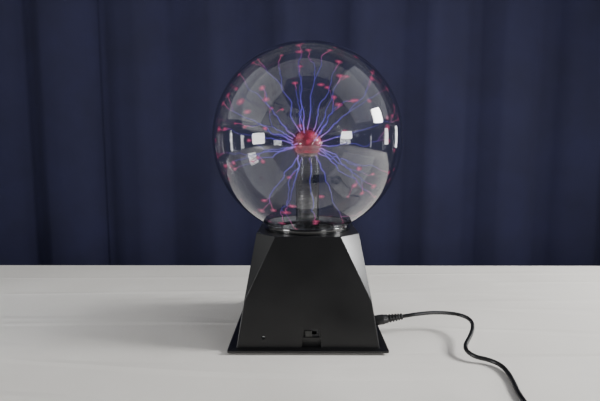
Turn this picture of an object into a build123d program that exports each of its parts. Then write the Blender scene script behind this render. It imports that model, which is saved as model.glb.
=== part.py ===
from build123d import *
import os
from math import atan, cos, degrees, pi, radians, sin, sqrt, tan

# Plasma ball on a tapering four-sided base, in millimetres. +Z is up, the front faces -Y, and the origin is
# the middle of the base where its feet meet the table.

# Base housing
FOOT_GAP = 0.8
PLATE_T = 1.4
FLANGE_T = 1.8
BODY_HALF = 68.8
FLANGE_LEDGE = 7.7
PLATE_INSET = 3.5
TOP_MARGIN = 5.8
BODY_H = 104.7
FACET_CUT = 20.2
FACET_START = 42.0
WALL = 2.5
EDGE_R = 0.9
CLEAR = 0.05

# Collar and globe
GLOBE_R = 100.0
GLASS_T = 2.0
COLLAR_LIP = 5.9
LIP_WIDTH = 1.7
COLLAR_SHOULDER = 6.3
SPIGOT_WALL = 8.0
SPIGOT_H = 6.2
GASKET_T = 1.2
GASKET_W = 8.5
GASKET_INSET = 2.8
NECK_R = 30.0
NECK_DROP = 20.0
SLEEVE_T = 2.0
RING_LEDGE = 8.0
RING_T = 3.0

# Stem, electrode and terminal
STEM_R = 12.7
STEM_T = 1.0
BULB_SWELL = 3.8
BULB_DROP = 4.8
BULB_T = 1.2
CORE_FLAT = 9.5
FLARE_T = 2.0
CAP_T = 1.2
SPRING_GAP = 1.7
SPRING_WIRE = 0.9
SPRING_PITCH = 4.05
TERMINAL_R = 2.0
TERMINAL_LIFT = 8.3
DISC_GAP = 0.8
TIP_R = 3.0
TIP_L = 9.0
TIP_OFFSET = 8.3

# Slide switch in the front
SWITCH_X = 3.4
SWITCH_Z = 16.8
WINDOW_SIDE = 2.05
WINDOW_END = 1.1
POCKET_SIDE = 1.2
POCKET_END = 1.4
PAD_HALF = 15.0
BRACKET_SCREW_X = 11.0
KNOB_W = 6.0
KNOB_H = 5.6
KNOB_TRAVEL = 5.5

# Power socket and plug in the right side
JACK_Y = -23.2
JACK_RISE = 0.869
BARREL_R = 2.75
NOSE_WALL = 1.35
JACK_GAP = 0.5
JACK_DEPTH = 11.8
BARREL_L = 9.2
PIN_R = 1.0
PLUG_L = 33.4
PLUG_HEAD_R = 5.3
PLUG_END_R = 3.35

# Sound port in the front
PORT_X = -42.8
PORT_Z = 13.2
PORT_R = 1.6
CAPSULE_R = 3.0

# Driver board
BOARD_LEFT_GAP = 18.8
BOARD_RIGHT_GAP = 24.8
BOARD_BACK_GAP = 26.8
BOARD_T = 1.6
BOARD_LIFT = 5.6
POST_R = 4.0
POST_INSET = 11.8
POST_BITE = 3.17
LIP_GAP = 0.45
LIP_T = 2.0
LIP_H = 3.8
SCREW_R = 1.5

# Transformer and heat sink on the board
FLY_X, FLY_Y = -12.0, 8.0
FLY_R = 14.0
FLY_H = 21.6
CORE_BAR = 6.0
CORE_LEG = 9.0
CORE_SPAN = 24.5
SINK_X, SINK_Y = 20.0, 32.0
SINK_W, SINK_H = 30.0, 28.0
TAB_HOLE_UP = 18.0

# Lead and adapter
CORD_D = 4.0
COIL_X, COIL_Y = 136.0, -206.0
COIL_R = 22.0
COIL_LANES = 3
TIE_W = 6.0
TIE_T = 0.8
TIE_ANGLE = 140.0
ADAPTER_L, ADAPTER_W, ADAPTER_H = 62.0, 42.0, 26.0
ADAPTER_X, ADAPTER_Y = 84.0, -234.0
ADAPTER_WALL = 2.0
CAP_L = 14.0
BLADE_L, BLADE_W, BLADE_T, BLADE_GAP = 17.0, 6.35, 1.5, 12.7
RELIEF_L = 20.0

# The lead's route from the plug to the coil, and from the coil to the adapter: chosen points
CORD_ROUTE = [
    (113.0, -22.8, 19.9),
    (132.0, -18.0, 20.2),
    (150.0, -15.0, 18.8),
    (163.0, -16.8, 17.6),
    (170.5, -25.5, 16.6),
    (169.5, -39.0, 14.8),
    (160.5, -56.5, 11.6),
    (145.8, -76.4, 7.6),
    (150.6, -89.4, 5.2),
    (164.2, -92.7, 3.8),
    (171.8, -103.2, 2.8),
    (169.6, -124.5, 2.0),
    (163.8, -146.0, 2.0),
    (162.6, -169.0, 2.0),
    (162.0, -190.0, 2.0),
    (161.4, -205.0, 2.0),
]
TAIL_ROUTE = [
    (134.0, -232.0, 2.0),
    (124.0, -232.8, 4.0),
    (113.0, -234.0, 11.6),
    (104.0, -234.0, 13.0),
]
# Levels and slopes that follow from the sizes above
FLANGE_HALF = BODY_HALF + FLANGE_LEDGE
PLATE_HALF = FLANGE_HALF - PLATE_INSET
SPIGOT_R = NECK_R + SLEEVE_T + SPIGOT_WALL
COLLAR_R = SPIGOT_R + COLLAR_SHOULDER
TOP_HALF = COLLAR_R + TOP_MARGIN
GASKET_OUT = COLLAR_R - GASKET_INSET
GASKET_IN = GASKET_OUT - GASKET_W
RING_R = SPIGOT_R + RING_LEDGE
PLATE_Z = FOOT_GAP
FLANGE_Z = PLATE_Z + PLATE_T
BODY_Z = FLANGE_Z + FLANGE_T
TOP_Z = BODY_Z + BODY_H
SLOPE = (BODY_HALF - TOP_HALF) / BODY_H
LEAN = atan(SLOPE)
FACET_LOW = sqrt(2) * (BODY_HALF - SLOPE * FACET_START)
FACET_HIGH = (2 * TOP_HALF - FACET_CUT) / sqrt(2)
FACET_LEAN = atan((FACET_LOW - FACET_HIGH) / (BODY_H - FACET_START))
LIP_Z = TOP_Z + COLLAR_LIP
GLOBE_Z = LIP_Z + sqrt(GLOBE_R**2 - (COLLAR_R - LIP_WIDTH) ** 2)
NECK_Z = TOP_Z - NECK_DROP
SEAL_Z = NECK_Z - FLARE_T
BULB_R = STEM_R + BULB_SWELL
BULB_Z = GLOBE_Z - BULB_DROP
BORE_R = STEM_R - STEM_T
SPRING_R = BORE_R - SPRING_GAP
TERMINAL_TOP = NECK_Z + TERMINAL_LIFT
BOARD_X = (BOARD_LEFT_GAP - BODY_HALF, BODY_HALF - BOARD_RIGHT_GAP)
BOARD_Y = (BOARD_LEFT_GAP - BODY_HALF, BODY_HALF - BOARD_BACK_GAP)
POST_AT = BODY_HALF - POST_INSET
POST_TOP = BODY_Z + (BODY_HALF - WALL / cos(LEAN) - POST_AT - POST_R) / SLOPE + POST_BITE
LIP_HALF = BODY_HALF - SLOPE * (FLANGE_Z + LIP_H - BODY_Z) - WALL / cos(LEAN) - LIP_GAP
BOARD_Z = FLANGE_Z + BOARD_LIFT
BOARD_TOP = BOARD_Z + BOARD_T
SPIGOT_Z = TOP_Z - WALL - SPIGOT_H
WINDOW_W = KNOB_W + KNOB_TRAVEL + 2 * WINDOW_SIDE
WINDOW_H = KNOB_H + 2 * WINDOW_END
POCKET_W = WINDOW_W + 2 * POCKET_SIDE
POCKET_TOP = SWITCH_Z + KNOB_H / 2 + POCKET_END
POCKET_Y = BODY_HALF - SLOPE * (POCKET_TOP - BODY_Z)
PAD_Y = POCKET_Y - WALL
OUTWARD = (cos(LEAN), 0, sin(LEAN))
JACK_BACK = -WALL - JACK_GAP - JACK_DEPTH
JACK_Z = BOARD_TOP + JACK_RISE - JACK_BACK * sin(LEAN)
JACK_X = BODY_HALF - SLOPE * (JACK_Z - BODY_Z)
JACK = Plane(origin=(JACK_X, JACK_Y, JACK_Z), x_dir=(0, 1, 0), z_dir=OUTWARD).location
NOSE_R = BARREL_R + NOSE_WALL
CORD_START = tuple((JACK * Pos(0, 0, PLUG_L)).position)
UP = (Align.CENTER, Align.CENTER, Align.MIN)


def half_at(z):
    """Half the body's width at height z."""
    return BODY_HALF - SLOPE * (z - BODY_Z)


def rod(radius, low, high, x=0.0, y=0.0):
    """Upright cylinder between two heights."""
    return Pos(x, y, low) * Cylinder(radius, high - low, align=UP)


def tube(outer, inner, low, high, x=0.0, y=0.0):
    """Upright tube between two heights."""
    return rod(outer, low, high, x, y) - rod(inner, low - 1, high + 1, x, y)


def block(x0, x1, y0, y1, z0, z1):
    """Box between two corners."""
    return Pos((x0 + x1) / 2, (y0 + y1) / 2, (z0 + z1) / 2) * Box(x1 - x0, y1 - y0, z1 - z0)


def along_y(radius, y0, y1, x, z):
    """Cylinder along Y between two places."""
    return Pos(x, (y0 + y1) / 2, z) * Rot(90, 0, 0) * Cylinder(radius, y1 - y0)


def along_x(radius, x0, x1, y, z):
    """Cylinder along X between two places."""
    return Pos((x0 + x1) / 2, y, z) * Rot(0, 90, 0) * Cylinder(radius, x1 - x0)


def turned(outline):
    """Solid of revolution about Z from (radius, height) corners."""
    corners = [(r, 0, z) for r, z in outline]
    return revolve(make_face(Polyline(corners, close=True)), Axis.Z)


def ring_edges(solid, radius, z, slack=0.3):
    """Round edges of one radius about the middle axis, near one height."""
    found = solid.edges().filter_by(GeomType.CIRCLE)
    return [e for e in found if abs(e.radius - radius) < slack and abs(e.arc_center.Z - z) < slack]


def at_corners(x, y):
    """The four places (+-x, +-y)."""
    return [(a * x, b * y) for a in (-1, 1) for b in (-1, 1)]


def pipe(points, diameter, name=None):
    """Tube along straight runs with tangent arcs, each as large as 0.45 of its shorter run allows."""
    places = [Vector(*p) for p in points]
    runs = [b - a for a, b in zip(places, places[1:])]
    radii = []
    for before, after in zip(runs, runs[1:]):
        half_turn = radians(before.get_angle(after)) / 2
        radii.append(0.45 * min(before.length, after.length) / tan(half_turn))
    path = FilletPolyline(*places, radius=radii)
    start = Plane(origin=places[0], z_dir=runs[0])
    solid = sweep(start * Circle(diameter / 2), path=path)
    if name:
        ideal = pi * diameter**2 / 4 * path.length
        print(name, "radii", [round(r, 1) for r in radii])
        print(name, "length", round(path.length, 1), "volume", round(solid.volume), "of", round(ideal))
    return solid


def tower(low, high, inset):
    """Body shape between two heights with its four sides and four corner facets moved in by inset."""
    solid = block(-FLANGE_HALF, FLANGE_HALF, -FLANGE_HALF, FLANGE_HALF, low, high)
    for turn in range(4):
        for heading, lean, reach, level in (
            (90 * turn, LEAN, BODY_HALF, BODY_Z),
            (90 * turn + 45, FACET_LEAN, FACET_HIGH, TOP_Z),
        ):
            a = radians(heading)
            face = Vector(cos(lean) * cos(a), cos(lean) * sin(a), sin(lean))
            place = Vector(reach * cos(a), reach * sin(a), level) - face * inset
            solid = split(solid, bisect_by=Plane(origin=place, z_dir=face), keep=Keep.BOTTOM)
    return solid


def make_base_shell():
    """Housing: tapering body, flange, screw posts, switch recess, socket hole and sound port."""
    outer = tower(FLANGE_Z, TOP_Z, 0)
    body = fillet([e for e in outer.edges() if e.center().Z > FLANGE_Z + 0.1], EDGE_R)
    flange = block(-FLANGE_HALF, FLANGE_HALF, -FLANGE_HALF, FLANGE_HALF, FLANGE_Z, BODY_Z)
    flange = fillet(flange.edges().filter_by(Axis.Z), 1.5)
    shell = body + flange - tower(FLANGE_Z - 1, TOP_Z - WALL, WALL)
    for x, y in at_corners(POST_AT, POST_AT):
        shell += rod(POST_R, FLANGE_Z, POST_TOP, x, y) & outer
        shell -= rod(SCREW_R, FLANGE_Z - 1, FLANGE_Z + 12, x, y)
    pad_x = (SWITCH_X - PAD_HALF, SWITCH_X + PAD_HALF)
    shell += block(*pad_x, -BODY_HALF, -PAD_Y, FLANGE_Z, POCKET_TOP + WALL) & outer
    pocket_x = (SWITCH_X - POCKET_W / 2, SWITCH_X + POCKET_W / 2)
    shell -= block(*pocket_x, -FLANGE_HALF, -POCKET_Y, BODY_Z, POCKET_TOP + 2)
    window_x = (SWITCH_X - WINDOW_W / 2, SWITCH_X + WINDOW_W / 2)
    window_z = (SWITCH_Z - WINDOW_H / 2, SWITCH_Z + WINDOW_H / 2)
    shell -= block(*window_x, -FLANGE_HALF, -PAD_Y + 1, *window_z)
    for side in (-1, 1):
        shell -= along_y(1.05, -PAD_Y - 2.0, -PAD_Y + 1, SWITCH_X + side * BRACKET_SCREW_X, SWITCH_Z)
    port_wall = half_at(PORT_Z)
    shell += along_y(CAPSULE_R + 3.0, -port_wall, -port_wall + 7.5, PORT_X, PORT_Z) & outer
    shell -= along_y(CAPSULE_R + 1.6, -port_wall + WALL + 0.6, -port_wall + 9, PORT_X, PORT_Z)
    shell -= along_y(PORT_R, -port_wall - 2, -port_wall + 9, PORT_X, PORT_Z)
    shell -= JACK * Pos(0, 0, -8) * Cylinder(NOSE_R + 0.15, 12, align=UP)
    shell -= rod(SPIGOT_R + 0.2, TOP_Z - 10, TOP_Z + 1)
    return shell


def make_bottom_plate():
    """Plate that closes the base, with a locating lip, vents and posts for the board."""
    plate = block(-PLATE_HALF, PLATE_HALF, -PLATE_HALF, PLATE_HALF, PLATE_Z, FLANGE_Z)
    plate = fillet(plate.edges().filter_by(Axis.Z), 1.5)
    inner = LIP_HALF - LIP_T
    lip = block(-LIP_HALF, LIP_HALF, -LIP_HALF, LIP_HALF, FLANGE_Z, FLANGE_Z + LIP_H)
    lip -= block(-inner, inner, -inner, inner, FLANGE_Z, FLANGE_Z + LIP_H)
    gap = PAD_HALF + 1
    lip -= block(SWITCH_X - gap, SWITCH_X + gap, -LIP_HALF - 1, -inner + 1, FLANGE_Z, FLANGE_Z + LIP_H)
    plate += lip
    for x, y in board_places():
        plate += rod(3.5, FLANGE_Z, BOARD_Z, x, y)
        plate -= rod(1.2, FLANGE_Z, BOARD_Z + 1, x, y)
    for x, y in at_corners(POST_AT, POST_AT):
        plate -= screw_seat(x, y)
    for row in range(6):
        x = -37.5 + 15 * row
        plate -= block(x - 1.25, x + 1.25, -16, 16, PLATE_Z - 1, FLANGE_Z + 1)
    return plate


def board_places():
    """Where the board's four screws stand."""
    return [(x, y) for x in (BOARD_X[0] + 5, BOARD_X[1] - 5) for y in (BOARD_Y[0] + 5, BOARD_Y[1] - 5)]


def screw_seat(x, y):
    """Countersunk hole through the bottom plate."""
    seat = turned([(0, -1), (2.9, -1), (2.9, 0), (SCREW_R + 0.1, PLATE_T), (SCREW_R + 0.1, 3), (0, 3)])
    return Pos(x, y, PLATE_Z) * seat


def make_bottom_screws():
    """Four countersunk screws that hold the bottom plate."""
    thread = SCREW_R - CLEAR
    outline = [(0, 0.4), (0.6, 0.4), (0.6, 0), (2.8, 0), (thread, PLATE_T), (thread, 11.5), (0, 12)]
    return [Pos(x, y, PLATE_Z) * turned(outline) for x, y in at_corners(POST_AT, POST_AT)]


def make_feet():
    """Four low rubber feet that also hide the screws."""
    outline = [(0, 0), (7.2, 0), (7.5, 0.3), (7.5, FOOT_GAP), (0, FOOT_GAP)]
    return [Pos(x, y, 0) * turned(outline) for x, y in at_corners(POST_AT, POST_AT)]


def make_collar():
    """Glossy ring with a seat for the globe and a spigot through the top of the shell."""
    bore = NECK_R + SLEEVE_T + CLEAR
    collar = turned([(bore, SPIGOT_Z), (SPIGOT_R, SPIGOT_Z), (SPIGOT_R, TOP_Z), (COLLAR_R, TOP_Z),
                     (COLLAR_R, LIP_Z - 0.8), (COLLAR_R - 0.25, LIP_Z - 0.25), (COLLAR_R - 0.8, LIP_Z),
                     (bore, LIP_Z)])
    globe = Pos(0, 0, GLOBE_Z)
    collar -= globe * Sphere(GLOBE_R + 0.15)
    collar -= globe * Sphere(GLOBE_R + GASKET_T) & rod(GASKET_OUT, SPIGOT_Z, LIP_Z)
    for x, y in ring_places():
        collar -= rod(1.3, SPIGOT_Z - 1, SPIGOT_Z + 6, x, y)
    return collar


def ring_places():
    """Where the four retaining screws stand, in the middle of the spigot's wall."""
    reach = (NECK_R + SLEEVE_T + SPIGOT_R) / 2
    return [(reach * cos(radians(a)), reach * sin(radians(a))) for a in (45, 135, 225, 315)]


def make_gasket():
    """Rubber band that the globe rests on."""
    globe = Pos(0, 0, GLOBE_Z)
    band = globe * Sphere(GLOBE_R + GASKET_T - 0.02) - globe * Sphere(GLOBE_R + 0.02)
    return band & tube(GASKET_OUT - CLEAR, GASKET_IN, SPIGOT_Z, LIP_Z + 2)


def make_neck_sleeve():
    """Rubber sleeve that centres the globe's neck in the collar."""
    return tube(NECK_R + SLEEVE_T, NECK_R + CLEAR, SPIGOT_Z - 2, TOP_Z - 1.5)


def make_retaining_ring():
    """Ring inside the shell that clamps the collar to the top wall."""
    ring = tube(RING_R, NECK_R + SLEEVE_T + 1, SPIGOT_Z - RING_T, SPIGOT_Z)
    ring += tube(RING_R, SPIGOT_R + 0.5, SPIGOT_Z, TOP_Z - WALL)
    for x, y in ring_places():
        ring -= rod(1.7, SPIGOT_Z - RING_T - 1, SPIGOT_Z + 1, x, y)
    return ring


def make_retaining_screws():
    """Four pan-head screws, up through the ring into the spigot."""
    low = SPIGOT_Z - RING_T
    under = low - 1.6
    outline = [(0, under), (0.6, under), (0.6, under - 0.6), (2.2, under - 0.6), (2.75, under), (2.75, low)]
    outline += [(1.25, low), (1.25, low + 8.2), (0, low + 8.8)]
    return [Pos(x, y, 0) * turned(outline) for x, y in ring_places()]


def make_globe():
    """Clear globe with a short neck, open at the neck's end."""
    solid = Pos(0, 0, GLOBE_Z) * Sphere(GLOBE_R) + rod(NECK_R, NECK_Z, GLOBE_Z)
    hollow = Pos(0, 0, GLOBE_Z) * Sphere(GLOBE_R - GLASS_T) + rod(NECK_R - GLASS_T, NECK_Z - 1, GLOBE_Z)
    return solid - hollow


def make_stem():
    """Stem tube with the electrode's bulb on top, a flared seal below and the sealed exhaust tip."""
    centre = Pos(0, 0, BULB_Z)
    outer = rod(STEM_R, SEAL_Z, BULB_Z) + centre * Sphere(BULB_R)
    join = BULB_Z - sqrt(BULB_R**2 - STEM_R**2)
    outer = fillet(ring_edges(outer, STEM_R, join), 4.0)
    outer += rod(NECK_R, SEAL_Z, NECK_Z)
    outer = fillet(ring_edges(outer, STEM_R, NECK_Z), 6.0)
    inner = rod(BORE_R, SEAL_Z - 1, BULB_Z) + centre * Sphere(BULB_R - BULB_T)
    stem = outer - inner
    y = STEM_R + TIP_OFFSET
    tip = rod(TIP_R, SEAL_Z - TIP_L, NECK_Z - 0.5, 0, y) + Pos(0, y, SEAL_Z - TIP_L) * Sphere(TIP_R)
    return stem + tip


def make_core():
    """Conductive filling of the bulb, cut flat below."""
    ball = Pos(0, 0, BULB_Z) * Sphere(BULB_R - BULB_T - 0.15)
    return ball & rod(BULB_R, BULB_Z - CORE_FLAT, BULB_Z + BULB_R)


def core_bottom():
    """Height of the core's flat face."""
    return BULB_Z - CORE_FLAT


def make_cap():
    """Brass disc between core and spring."""
    disc = rod(BORE_R - DISC_GAP, core_bottom() - CAP_T, core_bottom())
    return disc + rod(SPRING_R - 4, core_bottom() - CAP_T - 2.4, core_bottom())


def make_spring():
    """Contact spring that fills the stem, from the terminal to the cap."""
    low = TERMINAL_TOP + SPRING_WIRE / 2 + 0.02
    height = core_bottom() - CAP_T - SPRING_WIRE / 2 - 0.02 - low
    path = Helix(pitch=SPRING_PITCH, height=height, radius=SPRING_R)
    start = Plane(origin=path @ 0, z_dir=path % 0)
    return Pos(0, 0, low) * sweep(start * Circle(SPRING_WIRE / 2), path=path, is_frenet=True)


def make_terminal():
    """Brass terminal: a stud through the bung with a disc under the spring."""
    stud = rod(TERMINAL_R - CLEAR, SEAL_Z - TIP_L, TERMINAL_TOP)
    return stud + rod(BORE_R - DISC_GAP, TERMINAL_TOP - 1.0, TERMINAL_TOP)


def make_terminal_plug():
    """Insulating bung in the mouth of the stem."""
    plug = rod(BORE_R - 0.1, SEAL_Z, TERMINAL_TOP - 1.0) + rod(STEM_R + 2, SEAL_Z - 4, SEAL_Z)
    return plug - rod(TERMINAL_R, SEAL_Z - 5, TERMINAL_TOP)


def fly_levels():
    """Heights of the transformer core: underside, winding's foot, winding's top, top face."""
    low = BOARD_TOP + 0.6
    return low, low + CORE_BAR, low + CORE_BAR + FLY_H, low + 2 * CORE_BAR + FLY_H


def make_flyback_core():
    """Closed ferrite loop with a round leg and a square leg."""
    low, foot, head, top = fly_levels()
    y = (FLY_Y - CORE_LEG / 2, FLY_Y + CORE_LEG / 2)
    leg_x = FLY_X + CORE_SPAN
    core = block(FLY_X - CORE_LEG / 2, leg_x + CORE_LEG / 2, *y, low, foot)
    core += block(FLY_X - CORE_LEG / 2, leg_x + CORE_LEG / 2, *y, head, top)
    core += block(leg_x - CORE_LEG / 2, leg_x + CORE_LEG / 2, *y, low, top)
    return core + rod(CORE_LEG / 2, foot, head, FLY_X, FLY_Y)


def make_flyback_winding():
    """Potted high-voltage winding on the round leg."""
    _, foot, head, _ = fly_levels()
    return tube(FLY_R, CORE_LEG / 2 + 0.2, foot + 0.1, head - 0.1, FLY_X, FLY_Y)


def make_primary_coil():
    """Enamelled winding on the square leg."""
    _, foot, head, _ = fly_levels()
    x = FLY_X + CORE_SPAN
    size = CORE_LEG / 2 + 0.2
    wound = size + 1.6
    middle = (foot + head) / 2
    coil = block(x - wound, x + wound, FLY_Y - wound, FLY_Y + wound, middle - 7, middle + 7)
    coil = fillet(coil.edges().filter_by(Axis.Z), 1.5)
    return coil - block(x - size, x + size, FLY_Y - size, FLY_Y + size, middle - 8, middle + 8)


def make_hv_lead():
    """Insulated lead from the winding up to the terminal."""
    _, _, head, _ = fly_levels()
    x, y = FLY_X - 9, FLY_Y - 7
    end = SEAL_Z - TIP_L
    rise = [(x, y, head - 0.1), (x, y, head + 15), (x + 12, y - 0.6, end - 18)]
    return pipe([*rise, (0, 0, end - 10), (0, 0, end)], 3.2)


def make_board():
    """Driver board with its screw holes."""
    board = block(*BOARD_X, *BOARD_Y, BOARD_Z, BOARD_TOP)
    for x, y in board_places():
        board -= rod(1.7, BOARD_Z - 1, BOARD_TOP + 1, x, y)
    return board


def make_board_screws():
    """Four pan-head screws that hold the board on its posts."""
    top = BOARD_TOP
    outline = [(0, top - 6.5), (1.15, top - 6.5), (1.15, top), (2.6, top), (2.6, top + 1.2), (2.1, top + 1.7),
               (0.6, top + 1.7), (0.6, top + 1.1), (0, top + 1.1)]
    return [Pos(x, y, 0) * turned(outline) for x, y in board_places()]


def make_heat_sink():
    """Finned aluminium plate behind the transistor."""
    left, top = SINK_X - SINK_W / 2, BOARD_TOP + SINK_H
    sink = block(left, left + SINK_W, SINK_Y, SINK_Y + 2.5, BOARD_TOP, top)
    for fin in range(7):
        x = left + 0.75 + fin * (SINK_W - 1.5) / 6
        sink += block(x - 0.75, x + 0.75, SINK_Y + 2.5, SINK_Y + 9, BOARD_TOP, top)
    return sink - along_y(1.3, SINK_Y - 1, SINK_Y + 2.3, SINK_X, BOARD_TOP + TAB_HOLE_UP)


def make_transistor():
    """Power transistor: metal-backed body with a tab and three legs."""
    low = BOARD_TOP + 4
    body = block(SINK_X - 5, SINK_X + 5, SINK_Y - 4.5, SINK_Y - 1.3, low, low + 9)
    body += block(SINK_X - 5, SINK_X + 5, SINK_Y - 1.3, SINK_Y - 0.02, low, low + 16.5)
    for leg in (-2.54, 0, 2.54):
        body += block(SINK_X + leg - 0.4, SINK_X + leg + 0.4, SINK_Y - 3.2, SINK_Y - 2.6, BOARD_TOP, low)
    return body - along_y(1.6, SINK_Y - 2, SINK_Y + 1, SINK_X, BOARD_TOP + TAB_HOLE_UP)


def make_transistor_screw():
    """Screw that clamps the tab to the heat sink."""
    z = BOARD_TOP + TAB_HOLE_UP
    thread = along_y(1.25, SINK_Y - 1.3, SINK_Y + 2.2, SINK_X, z)
    return thread + along_y(2.6, SINK_Y - 3.1, SINK_Y - 1.3, SINK_X, z)


def make_electrolytics():
    """Three upright can capacitors."""
    cans = []
    for x, y, radius, height in ((30.0, -8.0, 5.0, 17.0), (30.0, -30.0, 5.0, 17.0), (12.0, -36.0, 4.0, 11.0)):
        can = rod(radius, BOARD_TOP, BOARD_TOP + height, x, y)
        cans.append(fillet(can.edges().sort_by(Axis.Z)[-1], 0.6))
    return cans


def make_film_capacitors():
    """Two box capacitors."""
    places = [(-36.0, -20.0), (-36.0, 28.0)]
    boxes = [block(x - 3, x + 3, y - 6.5, y + 6.5, BOARD_TOP, BOARD_TOP + 10) for x, y in places]
    return [fillet(b.edges(), 0.5) for b in boxes]


def make_resistors():
    """Six axial resistors lying on the board."""
    solids = []
    for i in range(6):
        x, y, z = -20.0 + 6.0 * i, -24.0, BOARD_TOP + 1.4
        legs = along_y(0.3, y - 5.6, y + 5.6, x, z)
        for side in (-1, 1):
            legs += rod(0.3, BOARD_TOP, z + 0.3, x, y + 5.6 * side)
        solids.append(legs + along_y(1.25, y - 3.2, y + 3.2, x, z))
    return solids


def make_control_chip():
    """Eight-legged timer chip."""
    x, y = -8.0, -38.0
    chip = block(x - 4.8, x + 4.8, y - 3.2, y + 3.2, BOARD_TOP + 0.6, BOARD_TOP + 4.0)
    for i in range(4):
        leg = x - 3.81 + 2.54 * i
        for side in (-1, 1):
            low, high = sorted((y + side * 3.2, y + side * 3.9))
            chip += block(leg - 0.4, leg + 0.4, low, high, BOARD_TOP, BOARD_TOP + 2.2)
    return chip


def make_microphone():
    """Sound capsule behind the port."""
    face = -half_at(PORT_Z) + WALL + 0.65
    capsule = along_y(CAPSULE_R - 0.02, face, face + 4.5, PORT_X, PORT_Z)
    return fillet(capsule.edges().sort_by(Axis.Y)[0], 0.3)


def make_microphone_boot():
    """Rubber boot that holds the capsule in its ring."""
    face = -half_at(PORT_Z) + WALL + 0.65
    return along_y(CAPSULE_R + 1.55, face, face + 4.2, PORT_X, PORT_Z) - along_y(
        CAPSULE_R + 0.02, face - 1, face + 6, PORT_X, PORT_Z)


def make_microphone_wires():
    """Two thin wires from the capsule to the board."""
    start = -half_at(PORT_Z) + WALL + 0.65 + 4.5
    wires = []
    for side in (-1, 1):
        x = PORT_X + 1.2 * side
        wires.append(pipe([(x, start, PORT_Z), (x, start + 10.5, PORT_Z), (x, start + 10.5, BOARD_TOP)], 1.0))
    return wires


def make_switch_frame():
    """Steel bracket of the switch with the slot that the knob slides in."""
    front = -PAD_Y + 0.02
    frame = block(SWITCH_X - 13.5, SWITCH_X + 13.5, front, front + 0.6, SWITCH_Z - 4, SWITCH_Z + 4)
    slot = KNOB_TRAVEL / 2 + 2.3
    frame -= block(SWITCH_X - slot, SWITCH_X + slot, front - 1, front + 2, SWITCH_Z - 1.7, SWITCH_Z + 1.7)
    for side in (-1, 1):
        frame -= along_y(1.15, front - 1, front + 2, SWITCH_X + side * BRACKET_SCREW_X, SWITCH_Z)
    return frame


def make_switch_body():
    """Moulded block of the switch with the channel for the slider's foot."""
    front = -PAD_Y + 0.65
    body = block(SWITCH_X - 8.6, SWITCH_X + 8.6, front, front + 7, SWITCH_Z - 4, SWITCH_Z + 4)
    reach = KNOB_TRAVEL / 2 + 3.0
    body -= block(SWITCH_X - reach, SWITCH_X + reach, front - 1, front + 4, SWITCH_Z - 2.1, SWITCH_Z + 2.1)
    return body


def make_switch_terminals():
    """Three contact tails at the back of the switch."""
    back = -PAD_Y + 7.65
    tails = []
    for i in (-1, 0, 1):
        x = SWITCH_X + 5 * i
        tails.append(block(x - 0.9, x + 0.9, back, back + 3.5, SWITCH_Z - 0.25, SWITCH_Z + 0.25))
    return tails


def make_switch_wires():
    """Three wires from the switch to the board."""
    back = -PAD_Y + 11.15
    wires = []
    for i in (-1, 0, 1):
        x = SWITCH_X + 5 * i
        wires.append(pipe([(x, back, SWITCH_Z), (x, back + 8, SWITCH_Z), (x, back + 8, BOARD_TOP)], 1.3))
    return wires


def make_switch_screws():
    """Two screws that hold the bracket on the inside of the recess."""
    face = -PAD_Y + 0.62
    screws = []
    for side in (-1, 1):
        x = SWITCH_X + side * BRACKET_SCREW_X
        thread = along_y(0.98, face - 2.4, face + 0.1, x, SWITCH_Z)
        screws.append(thread + along_y(2.1, face, face + 1.4, x, SWITCH_Z))
    return screws


def make_switch_knob():
    """Ridged knob at its left stop, with its stem and foot in the switch."""
    x = SWITCH_X - KNOB_TRAVEL / 2
    front, back = -POCKET_Y - 0.9, -PAD_Y - 0.25
    knob = block(x - KNOB_W / 2, x + KNOB_W / 2, front, back, SWITCH_Z - KNOB_H / 2, SWITCH_Z + KNOB_H / 2)
    knob = fillet(knob.edges(), 0.25)
    for ridge in range(4):
        groove = x - 1.8 + 1.2 * ridge
        knob -= block(groove - 0.25, groove + 0.25, front - 1, front + 0.5, SWITCH_Z - 4, SWITCH_Z + 4)
    knob += block(x - 1.9, x + 1.9, back - 0.3, -PAD_Y + 1.4, SWITCH_Z - 1.5, SWITCH_Z + 1.5)
    return knob + block(x - 2.6, x + 2.6, -PAD_Y + 1.0, -PAD_Y + 3.2, SWITCH_Z - 1.9, SWITCH_Z + 1.9)


def make_jack_body():
    """Power socket clipped behind the side wall, its nose in the hole."""
    body = Pos(0, 0, JACK_BACK) * Box(9.5, 10.5, JACK_DEPTH, align=UP)
    nose = Pos(0, 0, JACK_BACK + JACK_DEPTH - 0.5) * Cylinder(NOSE_R, WALL + 0.7, align=UP)
    bore = Pos(0, 0, -BARREL_L - 1.4) * Cylinder(BARREL_R + CLEAR, 20, align=UP)
    return JACK * (body + nose - bore)


def make_jack_pin():
    """Centre pin of the socket."""
    foot = -BARREL_L - 1.4
    pin = Pos(0, 0, foot) * Cylinder(PIN_R, BARREL_L - 1.6, align=UP)
    return JACK * fillet(pin.edges().sort_by(Axis.Z)[-1], 0.4)


def make_jack_wires():
    """Two wires from the socket to the board."""
    wires = []
    for side in (-1, 1):
        start = (JACK * Pos(side * 2.4, 1.0, JACK_BACK)).position
        lift = SLOPE * 5
        landing = BOARD_X[1] - 3.3
        y = start.Y + side
        points = [tuple(start), (start.X - 5, start.Y, start.Z - lift), (landing, y, start.Z + 3)]
        wires.append(pipe([*points, (landing, y, BOARD_TOP)], 1.5))
    return wires


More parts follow.
